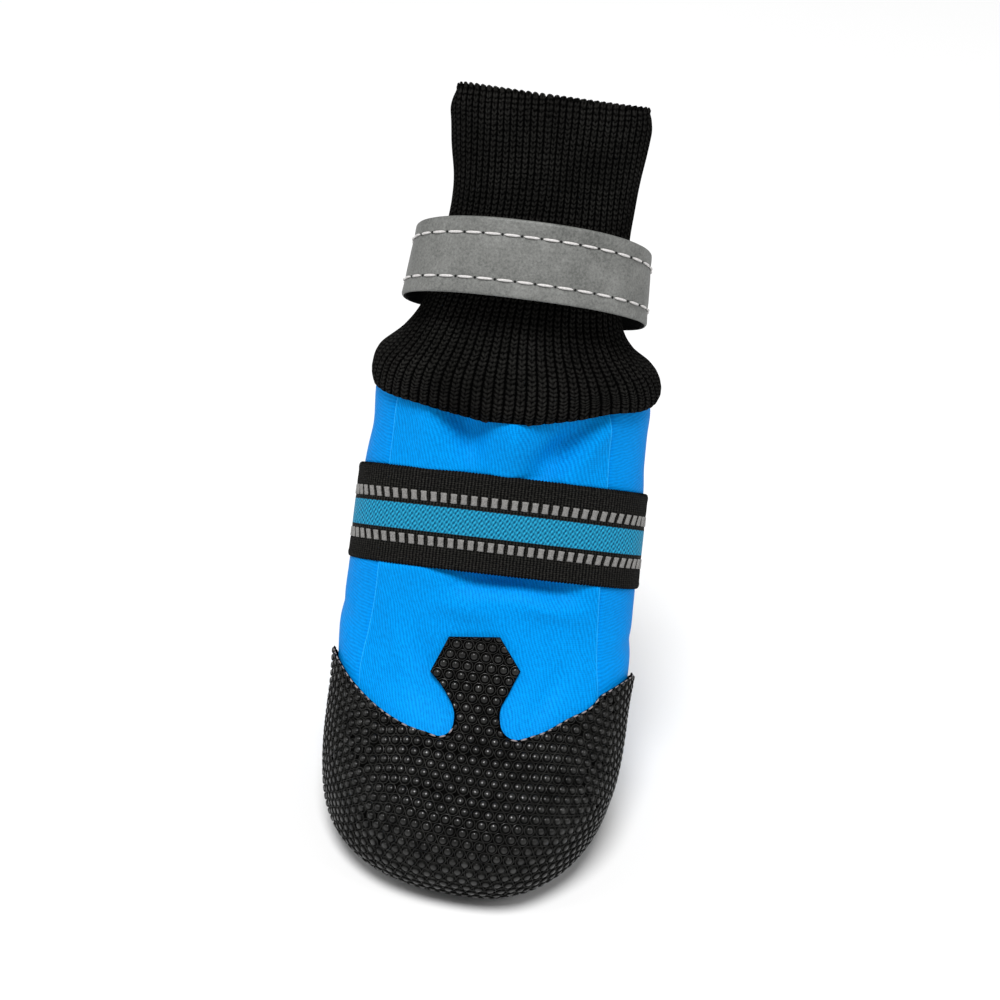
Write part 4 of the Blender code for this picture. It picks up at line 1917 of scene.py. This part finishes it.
@dataclass
class Upper:
    """The stretch upper: a front panel whose folded edges lie on the side fabric."""

    front_columns: int = 170
    back_columns: int = 210
    outer_rows: int = 176
    inner_rows: int = 56
    crowding: float = 0.80      # how much the columns crowd together at the panel's edges
    left_edge: tuple[Pair, ...] = (
        (0.0, 150.0), (6.8, 143.6), (8.93, 137.6), (11.0, 142.0), (12.0, 143.0))
    right_edge: tuple[Pair, ...] = (
        (0.0, 36.0), (6.83, 42.4), (8.93, 46.5), (11.0, 49.0), (12.0, 50.0))
    panel_height: float = 0.55
    fold_width: float = 0.32    # of the pale line along the folded edge
    seam_dent: float = 0.18     # of the side fabric beside the panel
    back_groove: float = 0.8
    back_ridge: float = 0.18
    unevenness: float = 0.32
    squeeze: float = 0.55       # how far the band presses in
    band_levels: Pair = (9.03, 9.97)
    puff_below: float = 1.15    # how far the fabric swells out beside the band
    puff_above: float = 0.55
    puff_reach: float = 8.0
    puff_behind: float = 0.45   # share of it that is left behind
    covered_below: float = 4.0  # level that the sole covers all round
    top_level: float = 11.4     # where the cuff starts to cover it
    top_tuck: float = 0.25
    pockets: tuple[Pocket, ...] = (
        Pocket(93.0, 6.5, 6.4, 4.4), Pocket(83.0, 6.0, 4.8, 2.4),
        Pocket(69.0, 8.5, 6.6, 4.4), Pocket(104.0, 5.0, 2.5, 1.4),
        Pocket(130.0, 3.0, 1.0, 0.8))
    folds: tuple[Fold, ...] = tuple(Fold(*row) for row in (
        (10.75, 106.0, 62.0, 10.0, 3.4, -4.2), (10.85, 99.0, 85.0, 5.0, 2.4, -2.2),
        (10.65, 89.0, 85.0, 8.0, 3.6, 2.4), (10.45, 72.0, -52.0, 11.0, 4.2, -4.6),
        (10.75, 58.0, -56.0, 9.0, 3.2, 1.8), (7.8, 182.0, 0.0, 25.0, 13.0, 1.6),
        (7.6, -2.0, 0.0, 25.0, 13.0, 0.5), (11.2, 180.0, 0.0, 25.0, 6.0, 1.1),
        (11.2, 0.0, 0.0, 25.0, 6.0, 1.0), (10.55, 120.0, 80.0, 9.0, 3.5, 0.9),
        (8.45, 97.0, 5.0, 8.0, 2.4, 0.8), (8.55, 70.0, 8.0, 7.0, 2.2, 0.7),
        (8.1, 84.0, 80.0, 8.0, 4.0, 0.5), (7.3, 108.0, 60.0, 9.0, 2.8, -0.9),
        (6.5, 106.0, 40.0, 7.0, 3.0, -0.8), (7.6, 122.0, 70.0, 13.0, 3.0, 0.7),
        (7.5, 58.0, 55.0, 12.0, 3.0, 0.6), (7.0, 68.0, -60.0, 9.0, 2.5, -0.6),
        (7.9, 170.0, 12.0, 12.0, 3.0, -0.5), (7.8, 10.0, -10.0, 12.0, 3.0, -0.5),
        (8.5, 225.0, 10.0, 14.0, 4.0, -0.7), (8.5, 315.0, -10.0, 14.0, 4.0, -0.7),
        (10.6, 200.0, 5.0, 12.0, 4.0, -0.7), (10.5, 330.0, -8.0, 12.0, 4.0, -0.8),
        (10.6, 262.0, 4.0, 13.0, 4.0, -0.6)))

    def build(self) -> None:
        """Make the upper."""
        wall = Wall.between(UPPER_FORM, 0.0, UPPER_FORM.top - 0.06, 0.0, -FABRIC,
                            self.outer_rows, self.inner_rows)
        level = wall.level[:, None]
        right, left = (self.edge_angle(edge, level)
                       for edge in (self.right_edge, self.left_edge))
        front = right + (left - right) * self.crowded(self.front_columns)
        back = left + (right + TURN - left) * self.crowded(self.back_columns)
        angle = np.concatenate([front, back[:, 1:]], axis=1)
        base = UPPER_FORM.point(level, angle)
        run = run_length(base, 1)
        inwards = self.inwards(run)
        relief = self.relief(base, level, angle, inwards)
        offset = wall.offset[:, None] + np.where(
            wall.inner[:, None] < 0.5, relief, np.minimum(relief + 0.9, 0.0))
        points = UPPER_FORM.lay(level, angle, offset, wall.rise[:, None])
        middle = (inwards[1:, 1:] + inwards[:-1, :-1]) / 2
        panels = np.where(middle < 0.0, 1, np.where(middle < self.fold_width, 2, 0))
        zones = np.where(wall.zones(), 3, panels)
        add_draped("upper_shell", points, [TWILL, SIDE_TWILL, TWILL_FOLD, LINING],
                   "upper", cloth_of(points, run), zones)

    def crowded(self, count: int) -> Array:
        """Shares from 0 to 1 that crowd together at both ends."""
        share = np.linspace(0.0, 1.0, count)
        return share - self.crowding * np.sin(share * TURN) / TURN

    @staticmethod
    def edge_angle(edge: Sequence[Pair], level: Array) -> Array:
        """Angle of a panel edge at levels.

        Args:
            edge: Levels and degrees of its points.
            level: The levels.

        Returns:
            The angles.
        """
        levels, angles = zip(*edge)
        smooth = Form([Section(*([value] * 12)) for value in angles])
        place = np.interp(level, levels, np.arange(len(levels)))
        return np.radians(smooth.section(place)[..., 0])

    def inwards(self, run: Array) -> Array:
        """How far points lie inside the front panel's edges; negative on the sides.

        Args:
            run: How far along its row each point is.

        Returns:
            The distances.
        """
        count = self.front_columns
        left = run[:, count - 1:count]
        front = np.minimum(run[:, :count], left - run[:, :count])
        back = np.minimum(run[:, count:] - left, run[:, -1:] - run[:, count:])
        return np.concatenate([front, -back], axis=1)

    def relief(self, base: Array, level: Array, angle: Array, inwards: Array) -> Array:
        """How far the fabric stands off the form.

        Args:
            base: Points of the form.
            level: Their levels.
            angle: Their angles.
            inwards: How far inside the front panel's edges they lie.

        Returns:
            The distances.
        """
        behind = from_back(angle)
        push = self.panel_height * ease((inwards + 0.12) / 0.24)
        push = push - self.seam_dent * hump(inwards + 0.5, 0.6)
        push = push - self.back_groove * hump(behind, 0.8)
        push = push + self.back_ridge * hump(behind - 1.4, 0.9)
        push = push + self.unevenness * drift(base, 17.0)
        for fold in self.folds:
            push = push + fold.push(base)
        low, high = self.band_levels
        front = self.puff_behind + (1.0 - self.puff_behind) * hump(angle - FRONT, 0.95)
        below = np.linalg.norm(base - UPPER_FORM.point(low, angle), axis=-1)
        above = np.linalg.norm(base - UPPER_FORM.point(high, angle), axis=-1)
        push = push + front * np.where(
            level < low, self.puff_below * hump(below, self.puff_reach),
            np.where(level > high, self.puff_above * hump(above, self.puff_reach), 0.0))
        for pocket in self.pockets:
            aside = (angle - math.radians(pocket.angle)) * SHAFT_RADIUS
            push = push - np.where(level < low, pocket.depth * hump(
                aside, pocket.length) * hump(below ** 2, pocket.drop ** 2), 0.0)
        under = ease((level - low + 0.04) / 0.04) * ease((high + 0.04 - level) / 0.04)
        push = push * (1.0 - under) - self.squeeze * under
        return (push * ease((level - self.covered_below) / 0.8)
                - self.top_tuck * ease((level - self.top_level) / 0.4))


# --- instep band ------------------------------------------------------------------------

@dataclass
class InstepBand:
    """The woven elastic band, with raised dashes either side of its stripe."""

    low: float = 9.02
    high: float = 9.99
    ribs: int = 240
    rib_columns: int = 4
    inner_offset: float = 0.1
    outer_offset: float = 1.45
    rib_depth: float = 0.16
    edge_bead: float = 0.14
    edge_teeth: float = 0.22
    dash_inset: float = 7.2     # from each edge to the middle of the dashes
    dash_channel: float = 0.22
    dash_pitch: float = 2.65
    dash_size: Triple = (1.7, 2.6, 0.6)
    dash_sink: float = 0.14     # how deep the dashes lie in the web
    joint_width: float = 9.0    # of the overlap behind
    joint_lift: float = 0.35
    join_inset: float = 1.2     # of its stitches, from its ends
    join_lift: float = 0.38

    def build(self) -> None:
        """Make the band, its dashes and the stitches of its join."""
        count = self.ribs * self.rib_columns
        wall = Wall.between(UPPER_FORM, self.low, self.high, self.outer_offset,
                            self.inner_offset, 44, 8, 4)
        angle = UPPER_FORM.even_angles((self.low + self.high) / 2, count)
        level, angle = wall.level[:, None], angle[None, :]
        share = (level - self.low) / (self.high - self.low)
        up = share * ELASTIC.width
        outer = 1.0 - wall.inner[:, None]
        rib = np.cos(np.arange(count + 1) * TURN / self.rib_columns)[None, :]
        points = UPPER_FORM.lay(level, angle, wall.offset[:, None] + outer * self.relief(
            up, angle, rib), wall.rise[:, None] * (1.0 + self.edge_teeth * rib))
        along = np.linspace(0.0, self.ribs * ELASTIC.rib_pitch, count + 1)[None, :]
        cloth = np.stack(np.broadcast_arrays(along, up), axis=-1)
        add_draped("band_web", points, [ELASTIC], "instep_band", cloth)
        dash = block("dash", self.dash_size, 0.16, 0.16)
        add_stamped("band_dashes", dash, self.dashes(), DASH_THREAD)
        stitch = thread("band_stitch", 1.6, 0.4, 0.12)
        add_stamped("band_stitches", stitch, self.join(), BLACK_THREAD)

    def relief(self, up: Array, angle: Array, rib: Array) -> Array:
        """Ribs on the black edges, channels under the dashes and a step at the join.

        Args:
            up: How far up the band's width a point is.
            angle: Its angle.
            rib: 1 on a rib and -1 beside it.

        Returns:
            The heights.
        """
        from_edge = np.minimum(up, ELASTIC.width - up)
        on_edge = 1.0 - ease((from_edge - self.dash_inset + 1.4) / 0.5)
        channel = hump(from_edge - self.dash_inset, 1.35)
        behind = from_back(angle)
        joint = 1.0 - ease((behind - self.joint_width / 2) / 0.6)
        return (self.rib_depth / 2 * rib * on_edge + self.edge_bead * hump(
            from_edge - 0.6, 0.7) - self.dash_channel * channel + self.joint_lift * joint)

    def dashes(self) -> list[Matrix]:
        """Places of the dashes of both rows.

        Returns:
            The places.
        """
        places = []
        for inset in (self.dash_inset, ELASTIC.width - self.dash_inset):
            level = self.low + (self.high - self.low) * inset / ELASTIC.width
            ring = UPPER_FORM.lay(level, np.linspace(0.0, TURN, 400), self.outer_offset)
            count = round(path_length(ring)[-1] / self.dash_pitch)
            angle = UPPER_FORM.even_angles(level, count)[:-1]
            lift = self.joint_lift * (from_back(angle) < self.joint_width / 2)
            places += UPPER_FORM.stands(level, angle,
                                        self.outer_offset - self.dash_sink + lift)
        return places

    def join(self) -> list[Matrix]:
        """Places of the stitches that hold the band's overlap behind.

        Returns:
            The places.
        """
        level = self.low + (self.high - self.low) * np.arange(0.04, 0.97, 0.085)
        aside = (self.joint_width / 2 - self.join_inset) / SHAFT_RADIUS
        return [place for angle in (BACK - aside, BACK + aside) for place in
                UPPER_FORM.stands(level, angle, self.outer_offset + self.join_lift,
                                  upright=True)]


# --- cuff -------------------------------------------------------------------------------

@dataclass
class Cuff:
    """The rib-knit cuff: a puffy skirt below and a collar above."""

    low: float = 0.03
    high: float = 7.93
    ribs: int = 72
    rib_columns: int = 6
    outer_rows: int = 180
    inner_rows: int = 14
    rib_depth: float = 0.42
    inner_depth: float = 0.35   # of the ribs inside
    scallop: float = 0.8
    lip_tuck: float = 1.3       # how far the top rolls inwards
    lip_start: float = 7.45
    corners: tuple[Triple, ...] = (
        (182.0, 0.16, 0.42), (-4.0, 0.09, 0.30))
    corner_start: float = 6.9   # level from which the corners dip
    corner_tuck: float = 4.0    # further inwards where a corner dips by one level
    hem_reach: float = 2.0      # levels that the hem's dips fade over
    hem: tuple[Triple, ...] = (
        (52.0, -1.0, 0.45), (10.0, -0.25, 0.35), (90.0, 0.30, 0.20), (122.0, -0.42, 0.40),
        (142.0, -0.34, 0.42))
    pull: float = 0.35          # low, slow unevenness
    wander: float = 0.12        # of a rib, in ribs

    def build(self) -> None:
        """Make the cuff."""
        wall = Wall.between(CUFF_FORM, self.low, self.high, 0.0, -KNIT, self.outer_rows,
                            self.inner_rows, 7)
        count = self.ribs * self.rib_columns
        even = np.stack([CUFF_FORM.even_angles(place, count) for place in wall.level])
        level = wall.level[:, None]
        rib = np.linspace(0.0, self.ribs, count + 1)[None, :]
        base = CUFF_FORM.point(level, even)
        angle = even + drift(base, 16.0, 7.0) * self.wander * TURN / self.ribs
        up = run_length(base, 0)
        crest = 1.0 - (1.0 - np.abs(np.sin(rib * math.pi))) ** 1.6
        outer = (1.0 - wall.inner)[:, None]
        relief = self.rib_depth * (crest - 1.0) + self.pull * drift(base, 11.0, 3.0)
        relief = relief * outer
        inner = self.inner_depth * (1.0 - crest) * (1.0 - outer)
        lip = np.clip((level - self.lip_start) / (self.high - self.lip_start), 0.0, 1.0)
        dip = self.lost(self.corners, angle)
        relief = relief - (self.lip_tuck * outer + self.corner_tuck * dip) * lip ** 3
        level = (level - dip * ease(level - self.corner_start)
                 - self.lost(self.hem, angle) * ease(1.0 - level / self.hem_reach))
        top = self.scallop * (crest - 0.6) * ease((level - self.high + 0.3) / 0.3)
        points = CUFF_FORM.lay(level, angle, wall.offset[:, None] + relief + inner,
                               wall.rise[:, None] + top)
        cloth = np.stack([np.broadcast_to(rib, up.shape), up], axis=-1)
        add_draped("cuff_knit", points, [RIBS], "cuff", cloth)

    @staticmethod
    def lost(dips: Sequence[Triple], angle: Array) -> Array:
        """Levels that an edge loses at angles.

        Args:
            dips: Angle, depth and width of each dip; the depth is negative for a rise.
            angle: The angles.

        Returns:
            The levels lost.
        """
        return sum(depth * hump(np.angle(np.exp(1j * (angle - math.radians(at)))), width)
                   for at, depth, width in dips)


# --- strap ------------------------------------------------------------------------------

@dataclass
class Strap:
    """The loose reflective strap, sewn along both edges, and its patch of hooks."""

    start: float = 255.0
    turn: float = 390.0
    rise: float = 25.0
    columns: int = 400
    outer_rows: int = 40
    inner_rows: int = 22
    corner: float = 6.0         # rounding of the running end
    inset: float = 0.03         # levels taken up by the rounded edges
    stitch_levels: Pair = (0.21, 0.79)
    stitch_pitch: float = 4.7
    half_width: float = 9.5
    pucker: float = 0.22
    stitch_sink: float = 0.10
    wave: float = 0.35
    wave_run: float = 31.0
    wave_fade: float = 12.0
    patch_angles: Pair = (260.5, 279.5)
    patch_levels: Pair = (0.16, 0.84)
    hooks: int = 15             # of the patch, each way

    def build(self) -> None:
        """Make the strap, its stitches and the patch."""
        wall = Wall.between(STRAP_FORM, self.inset, 1.0 - self.inset, STRAP_THICKNESS,
                            0.0, self.outer_rows, self.inner_rows)
        degrees = np.linspace(self.start, self.start + self.turn, self.columns)
        angle, run = np.radians(degrees), self.run(degrees)
        narrow = self.narrowing(run)
        level = 0.5 + (wall.level[:, None] - 0.5) * narrow[None, :]
        offset = (wall.offset[:, None] + self.lift(degrees)[None, :]
                  + self.relief(wall, run, level))
        points = STRAP_FORM.lay(level, angle[None, :], offset, wall.rise[:, None])
        add_draped("strap_tape", points, [TAPE, BACKING], "cuff_strap",
                   cloth_of(points), wall.zones(0.45), fill=True)
        stitch = thread("strap_stitch", 3.75, 0.60, 0.26, steps=8, sides=8)
        holes = lathe("hole", ((0.32, -0.12), (0.32, 0.04), (0.0, 0.04)), 8)
        stitches, punched = self.stitches(degrees, run)
        add_stamped("strap_stitches", stitch, stitches, WHITE_THREAD)
        add_stamped("strap_holes", holes, punched, NEEDLE_HOLE)
        self.add_patch()

    def run(self, degrees: Array) -> Array:
        """Length along the strap at angles in degrees."""
        return path_length(STRAP_FORM.lay(0.5, np.radians(degrees), self.lift(degrees)))

    def lift(self, degrees: Array) -> Array:
        """How far the running end stands off the first layer."""
        clear = 2 * GAP + PATCH_THICKNESS + STRAP_THICKNESS
        return clear * ease((degrees - (self.start + 360.0 - self.rise)) / self.rise)

    def narrowing(self, run: Array) -> Array:
        """Share of the width that is left, where the running end's corners round off."""
        into = np.clip((run - run[-1] + self.corner) / self.corner, 0.0, 1.0)
        return 1.0 - self.corner / self.half_width * (
            1.0 - np.sqrt(1.0 - 0.96 * into ** 2))

    def relief(self, wall: Wall, run: Array, level: Array) -> Array:
        """Puckers along the stitches and a slow wave, alike on both faces.

        Args:
            wall: The strap's wall.
            run: Lengths along the strap.
            level: Levels of the points.

        Returns:
            The heights.
        """
        beat = 0.5 + 0.5 * np.cos(run[None, :] / self.stitch_pitch * TURN)
        sewn = sum(hump(level - line, 0.075) for line in self.stitch_levels)
        face = (wall.offset / STRAP_THICKNESS)[:, None]
        return (-self.pucker * sewn * (0.35 + 0.65 * beat) * face
                + self.slow_wave(run, level, run[-1]))

    def stitches(self, degrees: Array, run: Array) -> tuple[list[Matrix], list[Matrix]]:
        """Places of the stitches and of the needle holes between them.

        Args:
            degrees: Angles along the strap.
            run: Lengths at those angles.

        Returns:
            The places of both.
        """
        sewn, holes = [], []
        count = int((run[-1] - 4.0) / self.stitch_pitch)
        spots = (np.arange(count * 2) * 0.5 + 0.5) * self.stitch_pitch + 0.6
        angles = np.interp(spots, run, degrees)
        for line in self.stitch_levels:
            offset = (STRAP_THICKNESS + self.lift(angles)
                      + self.slow_wave(spots, line, run[-1]) - self.stitch_sink)
            places = STRAP_FORM.stands(line, np.radians(angles), offset)
            sewn += places[::2]
            holes += places[1::2]
        return sewn, holes

    def slow_wave(self, spots: Array, level: Array | float, length: float) -> Array:
        """The slow wave along the strap, which fades at both ends."""
        ends = ease(spots / self.wave_fade) * ease((length - spots) / self.wave_fade)
        return np.sin(spots / self.wave_run + level * 1.3) * self.wave * 0.5 * ends

    def add_patch(self) -> None:
        """The hook patch between the layers, with its hooks."""
        face = GAP + STRAP_THICKNESS
        low, high = self.patch_levels
        wall = Wall.between(STRAP_FORM, low, high, face + PATCH_THICKNESS - 0.15, face,
                            12, 8, 3)
        angle = np.radians(np.linspace(*self.patch_angles, 30))[None, :]
        points = STRAP_FORM.lay(wall.level[:, None], angle, wall.offset[:, None],
                                wall.rise[:, None])
        add_draped("patch_pad", points, [PILE], "strap_fastener", fill=True)
        hook = thread("hook", 0.5, 0.18, 0.3, steps=4, sides=4)
        first, last = self.patch_angles
        level, turned = np.meshgrid(
            np.linspace(low + 0.03, high - 0.03, self.hooks),
            np.radians(np.linspace(first + 1.0, last - 1.0, self.hooks)))
        add_stamped("patch_hooks", hook, STRAP_FORM.stands(
            level.ravel(), turned.ravel(), face + PATCH_THICKNESS - 0.18, upright=True),
            PILE)


# --- insole -----------------------------------------------------------------------------

@dataclass
class Insole:
    """The felt insole, with a rounded edge."""

    low: float = 3.32
    high: float = 5.3
    rounding: float = 0.8
    gap: float = 0.3            # to the upper round it
    columns: int = 160
    top_rows: int = 16

    def build(self) -> None:
        """Make the pad."""
        angle = np.linspace(0.0, TURN, self.columns + 1)
        rows = []
        middle = (self.low + self.high) / 2
        for share in np.linspace(0.04, 0.94, 12):
            rows.append(self.outline(angle, share, self.low))
        for turn in np.linspace(-FRONT, FRONT, 9):
            inset = self.rounding * (1.0 - math.cos(turn)) + self.gap
            height = middle + (self.high - self.low) / 2 * math.sin(turn)
            rows.append(flat_outline(INSOLE, angle, inset, height))
        for share in np.linspace(0.94, 0.04, self.top_rows):
            rows.append(self.outline(angle, share, self.high))
        points = np.array(rows)
        on_top = np.arange(len(rows)) >= len(rows) - self.top_rows
        points[..., 2] += np.where(on_top[:, None], -0.2 + 0.2 * drift(points, 14.0), 0.0)
        pad = add_draped("insole_pad", points, [FOOTBED], "insole", fill=True)

    def outline(self, angle: Array, share: float, height: float) -> Array:
        """The insole's outline, shrunk about its middle.

        Args:
            angle: Angles.
            share: Size that is left.
            height: Its height.

        Returns:
            The points.
        """
        points = flat_outline(INSOLE, angle, self.rounding + self.gap, height)
        middle = points[:-1].mean(axis=0)
        return middle + (points - middle) * share


# --- studio -----------------------------------------------------------------------------

class Lamp(NamedTuple):
    """A soft area light, aimed at the boot."""

    name: str
    place: Triple
    size: float
    power: float


class Sun(NamedTuple):
    """The soft key light, which falls evenly on boot and floor."""

    direction: Triple
    spread: float
    strength: float


@dataclass(frozen=True)
class Studio:
    """A plain pale floor, soft light and the camera."""

    floor_size: float = 6.0
    floor_drop: float = 0.05        # mm under the sole
    world_strength: float = 0.20
    sun: Sun = Sun((0.10, 0.50, -1.15), math.radians(22.0), 3.0)
    lamps: tuple[Lamp, ...] = (
        Lamp("left", (-0.95, -0.30, 0.75), 0.6, 3.2),
        Lamp("right", (0.95, -0.30, 0.75), 0.6, 3.0),
    )
    target: Triple = (0.0, 8.0, 95.0)
    distance: float = 480.0
    elevation: float = math.radians(30.0)
    roll: float = math.radians(6.6)
    lens: float = 67.9

    def build(self) -> None:
        """Set up the stage round the boot."""
        scene = bpy.context.scene
        scene.view_settings.view_transform = "Standard"
        self.add_floor()
        world = bpy.data.worlds.new("studio")
        world.use_nodes = True
        sky = world.node_tree.nodes["Background"]
        sky.inputs["Color"].default_value = (1.0, 1.0, 1.0, 1.0)
        sky.inputs["Strength"].default_value = self.world_strength
        scene.world = world
        self.add_sun()
        for lamp in self.lamps:
            self.add_lamp(lamp)
        self.add_camera()

    def add_floor(self) -> None:
        """A large flat floor just under the sole."""
        sheet = bmesh.new()
        bmesh.ops.create_grid(sheet, x_segments=1, y_segments=1, size=self.floor_size / 2,
                              matrix=Matrix.Translation((0, 0, -self.floor_drop * MM)))
        mesh = finished_mesh("floor", sheet)
        mesh.materials.append(PALE_FLOOR.material())
        linked("floor", mesh)

    def add_lamp(self, lamp: Lamp) -> None:
        """A square soft light.

        Args:
            lamp: The light.
        """
        light = bpy.data.lights.new(lamp.name, "AREA")
        light.shape, light.size, light.energy = "SQUARE", lamp.size, lamp.power
        shown = linked(lamp.name, light)
        shown.location = lamp.place
        aim = Vector(self.target) * MM - Vector(lamp.place)
        shown.rotation_euler = aim.to_track_quat("-Z", "Y").to_euler()

    def add_sun(self) -> None:
        """The key light."""
        light = bpy.data.lights.new("key", "SUN")
        light.angle, light.energy = self.sun.spread, self.sun.strength
        shown = linked("key", light)
        aim = Vector(self.sun.direction)
        shown.rotation_euler = aim.to_track_quat("-Z", "Y").to_euler()

    def add_camera(self) -> None:
        """The camera above the toe, rolled a little."""
        lens = bpy.data.cameras.new("camera")
        lens.lens = self.lens
        back = Vector((0.0, -math.cos(self.elevation), math.sin(self.elevation)))
        right = Vector((1.0, 0.0, 0.0))
        up = back.cross(right)
        turned = (right * math.cos(self.roll) + up * math.sin(self.roll),
                  up * math.cos(self.roll) - right * math.sin(self.roll), back)
        camera = linked("camera", lens)
        camera.matrix_world = Matrix(turned).transposed().to_4x4()
        camera.location = (Vector(self.target) + back * self.distance) * MM
        bpy.context.scene.camera = camera


@dataclass
class DogBoot:
    """The whole boot."""

    ground: StudGround = field(
        default_factory=lambda: StudGround(Rim(), CapPattern()))
    upper: Upper = field(default_factory=Upper)
    band: InstepBand = field(default_factory=InstepBand)
    cuff: Cuff = field(default_factory=Cuff)
    strap: Strap = field(default_factory=Strap)
    insole: Insole = field(default_factory=Insole)

    def build(self) -> None:
        """Make every piece."""
        studs = self.ground.studs()
        log.info("%d studs", len(studs))
        Sole(self.ground).build(studs)
        ToeCap(self.ground).build(studs)
        for assembly in (self.insole, self.upper, self.band, self.cuff, self.strap):
            assembly.build()


def main() -> None:
    """Build the boot and its studio."""
    logging.basicConfig(level=logging.INFO, format="%(message)s")
    DogBoot().build()
    Studio().build()
    bpy.context.view_layer.update()


if __name__ == "__main__":
    main()
